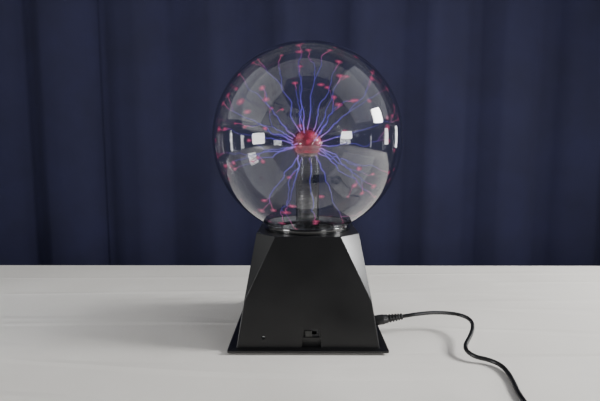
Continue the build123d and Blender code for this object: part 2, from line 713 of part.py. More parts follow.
def make_plug_grip():
    """Moulded grip of the plug, tapering to a ringed strain relief."""
    narrow = PLUG_HEAD_R - 0.5
    bore = BARREL_R + 0.02
    outline = [(0, 3.4), (bore, 3.4), (bore, 0.4), (narrow, 0.4), (PLUG_HEAD_R, 0.9), (PLUG_HEAD_R, 13.0),
               (narrow, 14.2)]
    fall = (narrow - PLUG_END_R) / (PLUG_L - 14.2)
    for groove in (23.4, 26.7, 30.0):
        for step, depth in ((-0.8, 0), (-0.5, 0.9), (0.5, 0.9), (0.8, 0)):
            outline.append((narrow - fall * (groove + step - 14.2) - depth, groove + step))
    outline += [(PLUG_END_R, PLUG_L - 0.4), (PLUG_END_R - 0.4, PLUG_L), (0, PLUG_L)]
    return JACK * turned(outline)


def make_plug_barrel():
    """Nickel sleeve of the plug."""
    return JACK * tube(BARREL_R, 1.72, -BARREL_L, 3.4)


def make_plug_insulator():
    """Plastic lining of the sleeve, round the pin's space."""
    return JACK * tube(1.70, PIN_R + CLEAR, -BARREL_L, 3.4)



def make_cord_coil():
    """Outer shape of the wound part of the lead, waisted where the tie squeezes it."""
    reach = COIL_LANES * CORD_D / 2
    height = COIL_LANES * CORD_D
    outline = [(COIL_R - reach, 1), (COIL_R - reach + 1, 0), (COIL_R + reach - 1, 0), (COIL_R + reach, 1),
               (COIL_R + reach, height - 1), (COIL_R + reach - 1, height), (COIL_R - reach + 1, height),
               (COIL_R - reach, height - 1)]
    coil = Pos(COIL_X, COIL_Y, 0) * turned(outline)
    waist = tie_block(-1.0, TIE_W + 0.3) - tie_block(TIE_T + CLEAR, TIE_W + 2)
    return coil - waist


def tie_block(shrink, width):
    """Block round the coil's section at the tie, its section made smaller by shrink on each side."""
    side = COIL_LANES * CORD_D - 2 * shrink
    place = Pos(COIL_X, COIL_Y, 0) * Rot(0, 0, TIE_ANGLE) * Pos(COIL_R, 0, COIL_LANES * CORD_D / 2)
    return place * Box(side, width, side)


def make_cord_tie():
    """Strap round the coil."""
    return tie_block(0, TIE_W) - tie_block(TIE_T, TIE_W + 2)


def adapter_block(x0, x1, inset):
    """Adapter's outline between two places along its length, made smaller by inset."""
    half = ADAPTER_W / 2 - inset
    return block(x0, x1, ADAPTER_Y - half, ADAPTER_Y + half, inset, ADAPTER_H - inset)


def make_adapter_case():
    """Main half of the adapter's housing, open towards the cap."""
    seam = ADAPTER_X - ADAPTER_L + CAP_L
    case = adapter_block(seam, ADAPTER_X, 0)
    ends = case.edges().filter_by(Axis.Y, reverse=True).group_by(Axis.X)[-1]
    case = fillet(case.edges().filter_by(Axis.X) + ends, 2.0)
    case -= adapter_block(seam - 1, ADAPTER_X - ADAPTER_WALL, ADAPTER_WALL)
    return case - along_x(CORD_D / 2 + 0.5, ADAPTER_X - 5, ADAPTER_X + 5, ADAPTER_Y, ADAPTER_H / 2)


def make_adapter_cap():
    """End half of the housing that carries the blades, with a lip inside the case."""
    seam = ADAPTER_X - ADAPTER_L + CAP_L
    end = ADAPTER_X - ADAPTER_L
    cap = adapter_block(end, seam, 0)
    cap = fillet(cap.edges().filter_by(Axis.X), 2.0)
    cap += adapter_block(seam, seam + 3, ADAPTER_WALL + 0.1)
    cap -= adapter_block(end + 3, seam + 4, ADAPTER_WALL + 1.6)
    for side in (-1, 1):
        y = ADAPTER_Y + side * BLADE_GAP / 2
        cap -= block(end - 1, end + 4, y - BLADE_T / 2 - CLEAR, y + BLADE_T / 2 + CLEAR,
                     ADAPTER_H / 2 - BLADE_W / 2 - CLEAR, ADAPTER_H / 2 + BLADE_W / 2 + CLEAR)
    return cap


def make_adapter_blades():
    """Two flat blades with their holes."""
    end = ADAPTER_X - ADAPTER_L
    blades = []
    for side in (-1, 1):
        y = ADAPTER_Y + side * BLADE_GAP / 2
        low, high = ADAPTER_H / 2 - BLADE_W / 2, ADAPTER_H / 2 + BLADE_W / 2
        blade = block(end - BLADE_L, end + 8, y - BLADE_T / 2, y + BLADE_T / 2, low, high)
        blade = chamfer(blade.edges().group_by(Axis.X)[0], 0.4)
        blades.append(blade - along_y(1.6, y - 2, y + 2, end - BLADE_L + 4.5, ADAPTER_H / 2))
    return blades


def make_adapter_relief():
    """Tapered strain relief with its flange inside the case."""
    inside = ADAPTER_WALL + 0.05
    neck = CORD_D / 2 + 0.45
    outline = [(0, -inside - 2), (5.5, -inside - 2), (5.5, -inside), (neck, -inside), (neck, 0)]
    outline += [(4.6, 0), (4.6, 1.5)]
    for ring in range(4):
        z = 4.0 + 4.0 * ring
        outer = 4.4 - 0.4 * ring
        outline += [(outer, z - 1), (outer - 0.9, z - 0.8), (outer - 0.9, z + 0.2), (outer - 0.1, z + 0.4)]
    outline += [(CORD_D / 2 + 0.6, RELIEF_L), (0, RELIEF_L)]
    return Pos(ADAPTER_X, ADAPTER_Y, ADAPTER_H / 2) * Rot(0, 90, 0) * turned(outline)


def make_adapter_transformer():
    """Laminated transformer inside the adapter."""
    middle = ADAPTER_X - ADAPTER_L / 2 + 2
    core = Box(30, 30, 20)
    return Pos(middle, ADAPTER_Y, ADAPTER_H / 2) * core


PARTS = {
    "base_shell": make_base_shell,
    "bottom_plate": make_bottom_plate,
    "rubber_feet": make_feet,
    "bottom_screws": make_bottom_screws,
    "globe_collar": make_collar,
    "globe_gasket": make_gasket,
    "neck_sleeve": make_neck_sleeve,
    "retaining_ring": make_retaining_ring,
    "retaining_screws": make_retaining_screws,
    "glass_globe": make_globe,
    "glass_stem": make_stem,
    "electrode_core": make_core,
    "electrode_cap": make_cap,
    "stem_spring": make_spring,
    "hv_terminal": make_terminal,
    "terminal_plug": make_terminal_plug,
    "hv_lead": make_hv_lead,
    "flyback_core": make_flyback_core,
    "flyback_winding": make_flyback_winding,
    "primary_coil": make_primary_coil,
    "circuit_board": make_board,
    "board_screws": make_board_screws,
    "heat_sink": make_heat_sink,
    "power_transistor": make_transistor,
    "transistor_screw": make_transistor_screw,
    "electrolytic_capacitors": make_electrolytics,
    "film_capacitors": make_film_capacitors,
    "resistors": make_resistors,
    "control_chip": make_control_chip,
    "microphone": make_microphone,
    "microphone_boot": make_microphone_boot,
    "microphone_wires": make_microphone_wires,
    "switch_frame": make_switch_frame,
    "switch_body": make_switch_body,
    "switch_terminals": make_switch_terminals,
    "switch_wires": make_switch_wires,
    "switch_screws": make_switch_screws,
    "switch_knob": make_switch_knob,
    "dc_jack_body": make_jack_body,
    "dc_jack_pin": make_jack_pin,
    "jack_wires": make_jack_wires,
    "dc_plug_grip": make_plug_grip,
    "dc_plug_barrel": make_plug_barrel,
    "dc_plug_insulator": make_plug_insulator,
    "power_cord": lambda: pipe([CORD_START, *CORD_ROUTE], CORD_D, "power_cord"),
    "cord_tail": lambda: pipe(TAIL_ROUTE, CORD_D, "cord_tail"),
    "cord_coil": make_cord_coil,
    "cord_tie": make_cord_tie,
    "adapter_case": make_adapter_case,
    "adapter_cap": make_adapter_cap,
    "adapter_blades": make_adapter_blades,
    "adapter_strain_relief": make_adapter_relief,
    "adapter_transformer": make_adapter_transformer,
}

os.makedirs("parts", exist_ok=True)
for node, make in PARTS.items():
    shape = make()
    if isinstance(shape, list):
        shape = Compound([solid for piece in shape for solid in piece.solids()])
    export_step(shape, f"parts/{node}.step")
print("globe centre", round(GLOBE_Z, 2), "top", round(GLOBE_Z + GLOBE_R, 2), "body top", round(TOP_Z, 2))
print("socket direction", [round(v, 5) for v in OUTWARD], "cord start", [round(v, 2) for v in CORD_START])
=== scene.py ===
"""Plasma ball on its black base, with its power lead and adapter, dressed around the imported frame."""

import logging
import math
import random
from dataclasses import dataclass
from enum import Enum
from typing import Any, Iterable, Optional, Sequence, Union

import bpy
from mathutils import Matrix, Vector


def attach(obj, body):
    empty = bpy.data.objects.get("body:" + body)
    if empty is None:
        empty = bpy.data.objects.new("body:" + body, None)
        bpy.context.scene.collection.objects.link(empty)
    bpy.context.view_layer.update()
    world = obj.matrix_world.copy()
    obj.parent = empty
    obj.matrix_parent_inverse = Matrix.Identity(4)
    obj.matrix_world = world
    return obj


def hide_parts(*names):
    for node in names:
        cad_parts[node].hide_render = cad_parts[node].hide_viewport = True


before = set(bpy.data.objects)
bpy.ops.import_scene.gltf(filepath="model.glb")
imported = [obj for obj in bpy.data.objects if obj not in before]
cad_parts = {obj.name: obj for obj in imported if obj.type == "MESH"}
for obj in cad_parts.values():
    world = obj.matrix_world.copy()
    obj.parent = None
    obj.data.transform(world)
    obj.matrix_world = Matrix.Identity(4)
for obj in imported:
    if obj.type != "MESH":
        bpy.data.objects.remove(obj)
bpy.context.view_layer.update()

LOG = logging.getLogger("plasma_ball")
MM = 0.001
Colour = tuple[float, float, float]
Point = tuple[float, float, float]
Profile = tuple[tuple[float, float], ...]
Run = list[tuple[Vector, float]]
Stops = list[tuple[float, Colour]]
DOUBLES = 1e-6
GLOBE_CENTRE = 204.12
BULB_CENTRE = 199.3


class Body(Enum):
    """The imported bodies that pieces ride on."""

    BASE = "base"
    SLIDER = "slider"
    LEAD = "power_lead"


# --- shader writing ---------------------------------------------------------------------------


class Signal:
    """One node output, with the arithmetic that the finishes use."""

    def __init__(self, shader: "Shader", raw: bpy.types.NodeSocket) -> None:
        """Keeps the shader and the output."""
        self.shader = shader
        self.raw = raw

    def _maths(self, operation: str, left: Any, right: Any = 0.0) -> "Signal":
        """Adds one Math node."""
        return self.shader.out("ShaderNodeMath", 0, {"operation": operation}, {0: left, 1: right})

    def __add__(self, other: Any) -> "Signal":
        """Sum."""
        return self._maths("ADD", self, other)

    __radd__ = __add__

    def __sub__(self, other: Any) -> "Signal":
        """Difference."""
        return self._maths("SUBTRACT", self, other)

    def __rsub__(self, other: Any) -> "Signal":
        """Difference, reflected."""
        return self._maths("SUBTRACT", other, self)

    def __mul__(self, other: Any) -> "Signal":
        """Product."""
        return self._maths("MULTIPLY", self, other)

    __rmul__ = __mul__

    def __truediv__(self, other: Any) -> "Signal":
        """Quotient."""
        return self._maths("DIVIDE", self, other)

    def over(self, edge: float) -> "Signal":
        """One where the signal passes the edge, else nought."""
        return self._maths("GREATER_THAN", self, edge)

    def size(self) -> "Signal":
        """Absolute value."""
        return self._maths("ABSOLUTE", self)


class Shader:
    """A material being written, node by node."""

    def __init__(self, name: str) -> None:
        """Starts an empty material.

        Args:
            name: The material's name.
        """
        self.material = bpy.data.materials.new(name)
        self.material.use_nodes = True
        self.tree = self.material.node_tree
        self.tree.nodes.clear()

    def node(self, kind: str, settings: Optional[dict] = None,
             values: Optional[dict] = None) -> bpy.types.Node:
        """Adds a node, sets it up and joins its inputs.

        Args:
            kind: The node's type.
            settings: Properties of the node, with "stops" for a ramp's positions and colours.
            values: Input values or signals, by the input's name or number.

        Returns:
            The node.
        """
        made = self.tree.nodes.new(kind)
        for key, value in (settings or {}).items():
            if key == "stops":
                self._stops(made.color_ramp, value)
            else:
                setattr(made, key, value)
        for key, value in (values or {}).items():
            if isinstance(value, Signal):
                self.tree.links.new(value.raw, made.inputs[key])
            else:
                made.inputs[key].default_value = value
        return made

    def out(self, kind: str, output: Union[int, str], settings: Optional[dict] = None,
            values: Optional[dict] = None) -> Signal:
        """Adds a node and reads one of its outputs."""
        return Signal(self, self.node(kind, settings, values).outputs[output])

    @staticmethod
    def _stops(ramp: bpy.types.ColorRamp, stops: Stops) -> None:
        """Sets a ramp's colours.

        Args:
            ramp: The ramp.
            stops: Positions and colours, lowest first.
        """
        while len(ramp.elements) < len(stops):
            ramp.elements.new(0.5)
        for element, (place, colour) in zip(ramp.elements, stops):
            element.position = place
            element.color = (*colour, 1.0)

    def place(self, centre: Point = (0, 0, 0), turn: Point = (0, 0, 0),
              scale: Point = (1, 1, 1)) -> Signal:
        """Object coordinates, moved so that a pattern is centred on a piece.

        Args:
            centre: The point that becomes the pattern's origin, in metres.
            turn: Turn of the pattern, in radians.
            scale: Stretch of the pattern.

        Returns:
            The coordinates.
        """
        seat = self.out("ShaderNodeTexCoord", "Object")
        moved = self.out("ShaderNodeVectorMath", 0, {"operation": "SUBTRACT"}, {0: seat, 1: centre})
        return self.out("ShaderNodeMapping", 0, None, {"Vector": moved, "Rotation": turn, "Scale": scale})

    def noise(self, where: Signal, size: float, detail: float = 3.0, rough: float = 0.5) -> Signal:
        """Cloudy noise."""
        return self.out("ShaderNodeTexNoise", 0, None,
                        {"Vector": where, "Scale": 1.0 / size, "Detail": detail, "Roughness": rough})

    def ramp(self, factor: Signal, stops: Stops) -> Signal:
        """Colour by a signal."""
        return self.out("ShaderNodeValToRGB", 0, {"stops": stops}, {0: factor})

    def blend(self, factor: Any, low: Any, high: Any) -> Signal:
        """Mix of two colours."""
        return self.out("ShaderNodeMix", 2, {"data_type": "RGBA"}, {0: factor, 6: low, 7: high})

    def bump(self, height: Signal, depth: float) -> Signal:
        """Normal bent by a height signal of nought to one, for a relief of this depth in metres."""
        return self.out("ShaderNodeBump", 0, None, {"Height": height, "Distance": depth, "Strength": 1.0})

    def surface(self, values: dict[str, Any]) -> Signal:
        """The principled surface with these values."""
        return self.out("ShaderNodeBsdfPrincipled", 0, None, values)

    def close(self, surface: Signal) -> bpy.types.Material:
        """Joins the surface to the output."""
        self.node("ShaderNodeOutputMaterial", None, {0: surface})
        return self.material


def shade(colour: Colour, factor: float) -> Colour:
    """A lighter or darker version of a colour."""
    return tuple(min(1.0, part * factor) for part in colour)


@dataclass(frozen=True)
class Moulded:
    """Moulded plastic or rubber, with a fine grain, slight clouding and uneven gloss."""

    name: str
    colour: Colour
    roughness: float = 0.4
    grain: float = 0.00003
    grain_size: float = 0.0006
    clouds: float = 0.018
    coat: float = 0.0
    spread: float = 0.12

    def make(self) -> bpy.types.Material:
        """Writes the material."""
        shader = Shader(self.name)
        where = shader.place()
        cloud = shader.noise(where, self.clouds, 4.0, 0.6)
        fine = shader.noise(where, self.grain_size, 2.0)
        tint = shader.ramp(cloud, [(0.3, shade(self.colour, 0.82)), (0.7, shade(self.colour, 1.22))])
        gloss = self.roughness + (cloud - 0.5) * self.spread + (fine - 0.5) * 0.06
        return shader.close(shader.surface({
            "Base Color": tint, "Roughness": gloss, "Coat Weight": self.coat, "Coat Roughness": 0.06,
            "Normal": shader.bump(fine, self.grain)}))


@dataclass(frozen=True)
class Metal:
    """Bare or plated metal with drawn or turned lines and slight tarnish."""

    name: str
    colour: Colour
    roughness: float = 0.28
    lines: Point = (1, 1, 18)
    line_size: float = 0.004
    depth: float = 0.00001

    def make(self) -> bpy.types.Material:
        """Writes the material."""
        shader = Shader(self.name)
        where = shader.place(scale=self.lines)
        drawn = shader.noise(where, self.line_size, 4.0, 0.65)
        tarnish = shader.noise(shader.place(), 0.006, 3.0, 0.6)
        tint = shader.ramp(tarnish, [(0.35, shade(self.colour, 0.78)), (0.65, shade(self.colour, 1.05))])
        return shader.close(shader.surface({
            "Base Color": tint, "Metallic": 1.0, "Roughness": self.roughness + (drawn - 0.5) * 0.22,
            "Normal": shader.bump(drawn, self.depth)}))


@dataclass(frozen=True)
class Layered:
    """Stacked sheets or wound wire: fine parallel grooves along one axis, darkened in the colour with painted
    shade and lightened on the ridges with painted light.
    """

    name: str
    colour: Colour
    # Colour of the painted shade in the grooves between turns or sheets.
    groove: Colour
    step: float
    direction: str = "Z"
    metallic: float = 0.0
    roughness: float = 0.4
    depth: float = 0.0001

    def make(self) -> bpy.types.Material:
        """Writes the material."""
        shader = Shader(self.name)
        where = shader.place()
        waves = shader.out("ShaderNodeTexWave", 1,
                           {"wave_type": "BANDS", "bands_direction": self.direction, "wave_profile": "SIN"},
                           {"Vector": where, "Scale": math.pi / (10 * self.step), "Distortion": 0.0})
        cloud = shader.noise(where, 0.006, 3.0)
        # Colour darker in the grooves is painted shade, and a little lighter on the ridges is painted light;
        # the real relief is the bump.
        tint = shader.ramp(waves * 0.8 + cloud * 0.2, [(0.1, self.groove), (0.55, self.colour),
                                                      (1.0, shade(self.colour, 1.15))])
        return shader.close(shader.surface({
            "Base Color": tint, "Metallic": self.metallic, "Roughness": self.roughness + (cloud - 0.5) * 0.15,
            "Normal": shader.bump(waves, self.depth)}))


@dataclass(frozen=True)
class BoardLaminate:
    """Brown laminate with soldered tracks on its faces."""

    name: str
    colour: Colour = (0.30, 0.17, 0.06)
    track: Colour = (0.42, 0.30, 0.10)

    def make(self) -> bpy.types.Material:
        """Writes the material."""
        shader = Shader(self.name)
        where = shader.place()
        cells = shader.out("ShaderNodeTexVoronoi", 0,
                           {"feature": "DISTANCE_TO_EDGE", "distance": "EUCLIDEAN"},
                           {"Vector": where, "Scale": 150.0, "Randomness": 0.75})
        mask = cells.over(0.11)
        fibre = shader.noise(shader.place(scale=(1, 30, 1)), 0.01, 4.0)
        plain = shader.ramp(fibre, [(0.3, shade(self.colour, 0.8)), (0.7, shade(self.colour, 1.2))])
        return shader.close(shader.surface({
            "Base Color": shader.blend(mask, plain, (*self.track, 1.0)), "Roughness": 0.5 - mask * 0.18,
            "Normal": shader.bump(mask, 0.00004)}))


@dataclass(frozen=True)
class BandedLacquer:
    """Tan lacquer with coloured value rings."""

    name: str

    def make(self) -> bpy.types.Material:
        """Writes the material."""
        shader = Shader(self.name)
        where = shader.place()
        waves = shader.out("ShaderNodeTexWave", 1, {"bands_direction": "X"},
                           {"Vector": where, "Scale": 110.0, "Distortion": 0.0})
        cloud = shader.noise(where, 0.0016, 2.0)
        tint = shader.ramp(waves, [(0.0, (0.55, 0.36, 0.17)), (0.78, (0.62, 0.43, 0.22)),
                                   (0.84, (0.25, 0.06, 0.03)), (0.97, (0.12, 0.05, 0.02))])
        return shader.close(shader.surface({
            "Base Color": tint, "Roughness": 0.35 + (cloud - 0.5) * 0.2,
            "Normal": shader.bump(cloud, 0.00003)}))


@dataclass(frozen=True)
class ClearGlass:
    """Clear blown glass with a few faint smears, let through by lamps."""

    name: str
    colour: Colour = (0.985, 0.992, 1.0)
    ripple: float = 0.000001

    def make(self) -> bpy.types.Material:
        """Writes the material."""
        shader = Shader(self.name)
        where = shader.place()
        smear = shader.noise(where, 0.03, 5.0, 0.6)
        dust = shader.noise(where, 0.0008, 1.0)
        speck = dust.over(0.735)
        soft = shader.noise(where, 0.07, 0.0)
        glass = shader.surface({
            "Base Color": (*self.colour, 1.0), "Roughness": (smear - 0.4) * 0.02 + speck * 0.2, "IOR": 1.41,
            "Transmission Weight": 1.0, "Normal": shader.bump(soft, self.ripple)})
        clear = shader.out("ShaderNodeBsdfTransparent", 0, None, {0: (0.96, 0.97, 0.98, 1.0)})
        shadow = shader.out("ShaderNodeLightPath", "Is Shadow Ray")
        return shader.close(shader.out("ShaderNodeMixShader", 0, None, {0: shadow, 1: glass, 2: clear}))


@dataclass(frozen=True)
class Discharge:
    """Glowing gas whose colour runs from pink at the electrode through violet to pink at the glass."""

    name: str
    centre: Point
    reach: float
    strength: float
    thickness: float
    root: Colour = (0.62, 0.30, 1.0)
    middle: Colour = (0.20, 0.15, 0.95)
    faint: Colour = (0.11, 0.085, 0.50)
    foot: Colour = (0.95, 0.14, 0.34)

    def make(self) -> bpy.types.Material:
        """Writes the material."""
        shader = Shader(self.name)
        where = shader.place(self.centre)
        length = shader.out("ShaderNodeVectorMath", "Value", {"operation": "LENGTH"}, {0: where})
        span = length / self.reach
        flicker = shader.noise(where, 0.012, 3.0)
        tint = shader.ramp(span, [(0.17, self.root), (0.32, self.middle), (0.60, self.faint),
                                  (0.86, self.faint), (0.97, self.foot)])
        density = self.thickness * (0.7 + flicker * 0.6)
        return shader.close(shader.surface({
            "Base Color": (0.0, 0.0, 0.0, 1.0), "Roughness": 1.0, "Specular IOR Level": 0.0,
            "Emission Color": tint, "Emission Strength": self.strength, "Alpha": density}))


@dataclass(frozen=True)
class GlowingCore:
    """The electrode's fine filling, glowing red with darker and paler patches."""

    name: str
    centre: Point
    dark: Colour = (0.10, 0.003, 0.006)
    middle: Colour = (0.30, 0.008, 0.022)
    bright: Colour = (0.90, 0.06, 0.16)

    def make(self) -> bpy.types.Material:
        """Writes the material."""
        shader = Shader(self.name)
        where = shader.place(self.centre)
        patch = shader.noise(where, 0.009, 4.0, 0.6)
        grit = shader.noise(where, 0.0014, 2.0)
        tint = shader.ramp(patch, [(0.40, self.dark), (0.52, self.middle), (0.66, self.bright)])
        return shader.close(shader.surface({
            "Base Color": (0.08, 0.008, 0.014, 1.0), "Roughness": 0.35 + grit * 0.2, "Coat Weight": 0.6,
            "Coat Roughness": 0.08, "Emission Color": tint, "Emission Strength": 1.0,
            "Normal": shader.bump(grit, 0.0002)}))


# --- finishes ---------------------------------------------------------------------------------


class Finishes:
    """Every finish of the object, written once and shared."""

    def __init__(self) -> None:
        """Starts with no material written."""
        self.made: dict[str, bpy.types.Material] = {}

    def take(self, finish: Any) -> bpy.types.Material:
        """The material for a finish."""
        if finish.name not in self.made:
            self.made[finish.name] = finish.make()
        return self.made[finish.name]

    def dress(self, piece: bpy.types.Object, finish: Any) -> None:
        """Gives a piece one finish all over."""
        piece.data.materials.clear()
        piece.data.materials.append(self.take(finish))


HOUSING = Moulded("satin_housing", (0.005, 0.005, 0.0055), 0.33, 0.000012, 0.0007, 0.03, 0.0, 0.07)
GLOSS = Moulded("gloss_collar", (0.006, 0.006, 0.007), 0.12, 0.000002, 0.002, 0.02, 0.6, 0.05)
INNER = Moulded("matt_inner_plastic", (0.022, 0.022, 0.024), 0.55, 0.00006, 0.0009)
FOOT = Moulded("foot_rubber", (0.03, 0.03, 0.031), 0.72, 0.0001, 0.001)
SEAT = Moulded("seat_rubber", (0.05, 0.05, 0.052), 0.6, 0.00008, 0.0009)
KNOB = Moulded("grey_knob", (0.032, 0.032, 0.03), 0.42, 0.00003, 0.0005)
PLUG = Moulded("satin_plug_vinyl", (0.014, 0.014, 0.015), 0.36, 0.00003, 0.0006, 0.01)
CORD = Moulded("cord_sheath", (0.010, 0.010, 0.011), 0.33, 0.00002, 0.0008, 0.02)
TIE = Moulded("tie_strap", (0.016, 0.016, 0.016), 0.5, 0.00006, 0.0008)
ADAPTER = Moulded("textured_adapter", (0.016, 0.016, 0.017), 0.5, 0.00016, 0.0009, 0.02)
CURTAIN = Moulded("navy_curtain", (0.021, 0.022, 0.062), 0.9, 0.0002, 0.002, 0.3)
TARNISHED_CAP = Metal("tarnished_cap", (0.16, 0.12, 0.09), 0.35)
SLOT_FINISHES: dict[str, Any] = {
    "black_housing": HOUSING, "black_inner": INNER, "foot_rubber": FOOT, "seat_rubber": SEAT,
    "gloss_black": GLOSS, "knob_grey": KNOB, "plug_pvc": PLUG, "cord_pvc": CORD, "tie_strap": TIE,
    "adapter_plastic": ADAPTER,
    "zinc_steel": Metal("zinc_plated_steel", (0.58, 0.60, 0.62), 0.3),
    "brass": Metal("turned_brass", (0.80, 0.55, 0.22), 0.22),
    "spring_steel": Metal("drawn_spring_wire", (0.07, 0.07, 0.075), 0.25, (1, 1, 4), 0.003),
    "nickel": Metal("bright_nickel", (0.70, 0.67, 0.62), 0.16),
    "aluminium": Metal("extruded_aluminium", (0.80, 0.81, 0.83), 0.32, (1, 1, 30)),
    "white_nylon": Moulded("natural_nylon", (0.72, 0.70, 0.64), 0.42, 0.00004),
    "red_silicone": Moulded("red_silicone", (0.42, 0.025, 0.02), 0.45, 0.00004),
    "ferrite": Moulded("sintered_ferrite", (0.055, 0.055, 0.06), 0.48, 0.0001, 0.0012),
    "potting": Moulded("cast_resin", (0.014, 0.014, 0.016), 0.18, 0.00002, 0.004),
    # The second colour is the painted shade in the grooves between the winding's turns.
    "copper_wire": Layered("enamelled_winding", (0.62, 0.22, 0.07), (0.16, 0.04, 0.015), 0.0006, "Z",
                           0.85, 0.3),
    "board_laminate": BoardLaminate("track_laminate"),
    "device_black": Moulded("moulded_epoxy", (0.02, 0.02, 0.022), 0.5, 0.00008),
    "capacitor_sleeve": Moulded("dark_blue_sleeve", (0.012, 0.022, 0.09), 0.25, 0.00001),
    "film_box": Moulded("film_capacitor_box", (0.33, 0.04, 0.02), 0.3, 0.00002),
    "resistor_body": BandedLacquer("resistor_lacquer"),
    "thin_wires": Moulded("blue_wire_sheath", (0.03, 0.035, 0.2), 0.4, 0.00002),
    # The second colour is the painted shade in the grooves between the stacked sheets.
    "laminations": Layered("stacked_sheets", (0.24, 0.24, 0.26), (0.05, 0.05, 0.055), 0.0007, "X",
                           0.9, 0.4),
    "globe_glass": ClearGlass("globe_glass"),
    "stem_glass": ClearGlass("stem_glass", (0.60, 0.61, 0.63), 0.000001),
    "electrode_glow": GlowingCore("electrode_core_glow", (0.0, 0.0, BULB_CENTRE * MM)),
}


# --- modelling bench --------------------------------------------------------------------------


class Bench:
    """Modelling moves shared by the sub-assemblies."""

    def __init__(self, finishes: Finishes) -> None:
        """Keeps the finishes."""
        self.finishes = finishes

    @staticmethod
    def clear() -> None:
        """Leaves edit mode and deselects everything."""
        if bpy.context.object is not None and bpy.context.object.mode != "OBJECT":
            bpy.ops.object.mode_set(mode="OBJECT")
        bpy.ops.object.select_all(action="DESELECT")

    def hold(self, piece: bpy.types.Object) -> None:
        """Selects one object and makes it active.

        Args:
            piece: The object.
        """
        self.clear()
        piece.select_set(True)
        bpy.context.view_layer.objects.active = piece

    def settle(self, name: str, smooth: float = 35.0) -> bpy.types.Object:
        """Ends work on the active object: name, applied place and smooth shading.

        Args:
            name: The piece's name.
            smooth: Angle in degrees over which an edge stays sharp.

        Returns:
            The object.
        """
        piece = bpy.context.object
        if piece.mode != "OBJECT":
            bpy.ops.object.mode_set(mode="OBJECT")
        piece.name = name
        piece.data.name = name
        bpy.ops.object.transform_apply(location=True, rotation=True, scale=True)
        bpy.ops.object.shade_smooth_by_angle(angle=math.radians(smooth))
        return piece

    @staticmethod
    def tidy_mesh() -> None:
        """Merges doubles and turns faces outwards, in edit mode."""
        bpy.ops.mesh.select_all(action="SELECT")
        bpy.ops.mesh.remove_doubles(threshold=DOUBLES)
        bpy.ops.mesh.normals_make_consistent(inside=False)

    def turned(self, name: str, outline: Sequence[tuple[float, float]], steps: int = 128,
               closed: bool = False, smooth: float = 35.0) -> bpy.types.Object:
        """Turns an outline about an upright axis.

        Args:
            name: The piece's name.
            outline: Radius and height pairs in millimetres.
            steps: Number of steps round.
            closed: Whether the outline's last point joins its first.
            smooth: Angle over which an edge stays sharp.

        Returns:
            The turned piece.
        """
        self.clear()
        bpy.ops.mesh.primitive_plane_add(size=MM)
        bpy.ops.object.mode_set(mode="EDIT")
        bpy.ops.mesh.select_mode(type="VERT")
        bpy.ops.mesh.select_all(action="SELECT")
        bpy.ops.mesh.merge(type="CENTER")
        first = Vector((outline[0][0], 0, outline[0][1])) * MM
        bpy.ops.transform.translate(value=first)
        last = first
        for radius, height in outline[1:]:
            here = Vector((radius, 0, height)) * MM
            bpy.ops.mesh.extrude_vertices_move(TRANSFORM_OT_translate={"value": here - last})
            last = here
        if closed:
            bpy.ops.mesh.extrude_vertices_move(TRANSFORM_OT_translate={"value": first - last})
        bpy.ops.mesh.select_all(action="SELECT")
        bpy.ops.mesh.spin(steps=steps, angle=math.tau, center=(0, 0, 0), axis=(0, 0, 1))
        self.tidy_mesh()
        return self.settle(name, smooth)

    def refined(self, name: str, node: str, smooth: float = 30.0) -> bpy.types.Object:
        """A merged, smooth-shaded copy of a CAD solid.

        Args:
            name: The piece's name.
            node: The CAD node that it is made from.
            smooth: Angle over which an edge stays sharp.

        Returns:
            The copy.
        """
        self.clear()
        source = bpy.data.objects[node]
        piece = bpy.data.objects.new(name, source.data.copy())
        bpy.context.collection.objects.link(piece)
        self.hold(piece)
        bpy.ops.object.mode_set(mode="EDIT")
        bpy.ops.mesh.customdata_custom_splitnormals_clear()
        self.tidy_mesh()
        return self.settle(name, smooth)

    def finish(self, piece: bpy.types.Object, body: Body, slot: str, finish: Any = None,
               nodes: Iterable[str] = ()) -> bpy.types.Object:
        """Dresses a piece and joins it to the frame.

        Args:
            piece: The object.
            body: The body that it rides on.
            slot: The record's material slot.
            finish: Its finish, or None for the slot's own.
            nodes: The CAD nodes that it stands for.

        Returns:
            The object.
        """
        self.finishes.dress(piece, finish or SLOT_FINISHES[slot])
        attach(piece, body.value)
        if nodes:
            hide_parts(*nodes)
        LOG.info("%s rides on %s", piece.name, body.value)
        return piece

    def strands(self, name: str, runs: list[Run], radius: float) -> bpy.types.Object:
        """Many thin round strands as one mesh.

        Args:
            name: The piece's name.
            runs: For each strand, its points and the width factor at each.
            radius: Radius where the factor is one, in metres.

        Returns:
            The mesh.
        """
        self.clear()
        curve = bpy.data.curves.new(name, "CURVE")
        curve.dimensions = "3D"
        curve.bevel_depth = radius
        curve.bevel_resolution = 1
        curve.use_fill_caps = True
        for run in runs:
            spline = curve.splines.new("POLY")
            spline.points.add(len(run) - 1)
            for point, (place, width) in zip(spline.points, run):
                point.co = (*place, 1.0)
                point.radius = width
        piece = bpy.data.objects.new(name, curve)
        bpy.context.collection.objects.link(piece)
        self.hold(piece)
        bpy.ops.object.convert(target="MESH")
        return self.settle(name, 60.0)

    def trimmed_box(self, low: Point, high: Point) -> None:
        """Adds a box between two corners, in millimetres, and leaves it active in edit mode.

        Args:
            low: Lowest corner.
            high: Highest corner.
        """
        self.clear()
        middle = [(a + b) / 2 * MM for a, b in zip(low, high)]
        size = [(b - a) * MM for a, b in zip(low, high)]
        bpy.ops.mesh.primitive_cube_add(size=1.0, location=middle)
        bpy.ops.transform.resize(value=size)
        bpy.ops.object.transform_apply(location=True, rotation=True, scale=True)
        bpy.ops.object.mode_set(mode="EDIT")

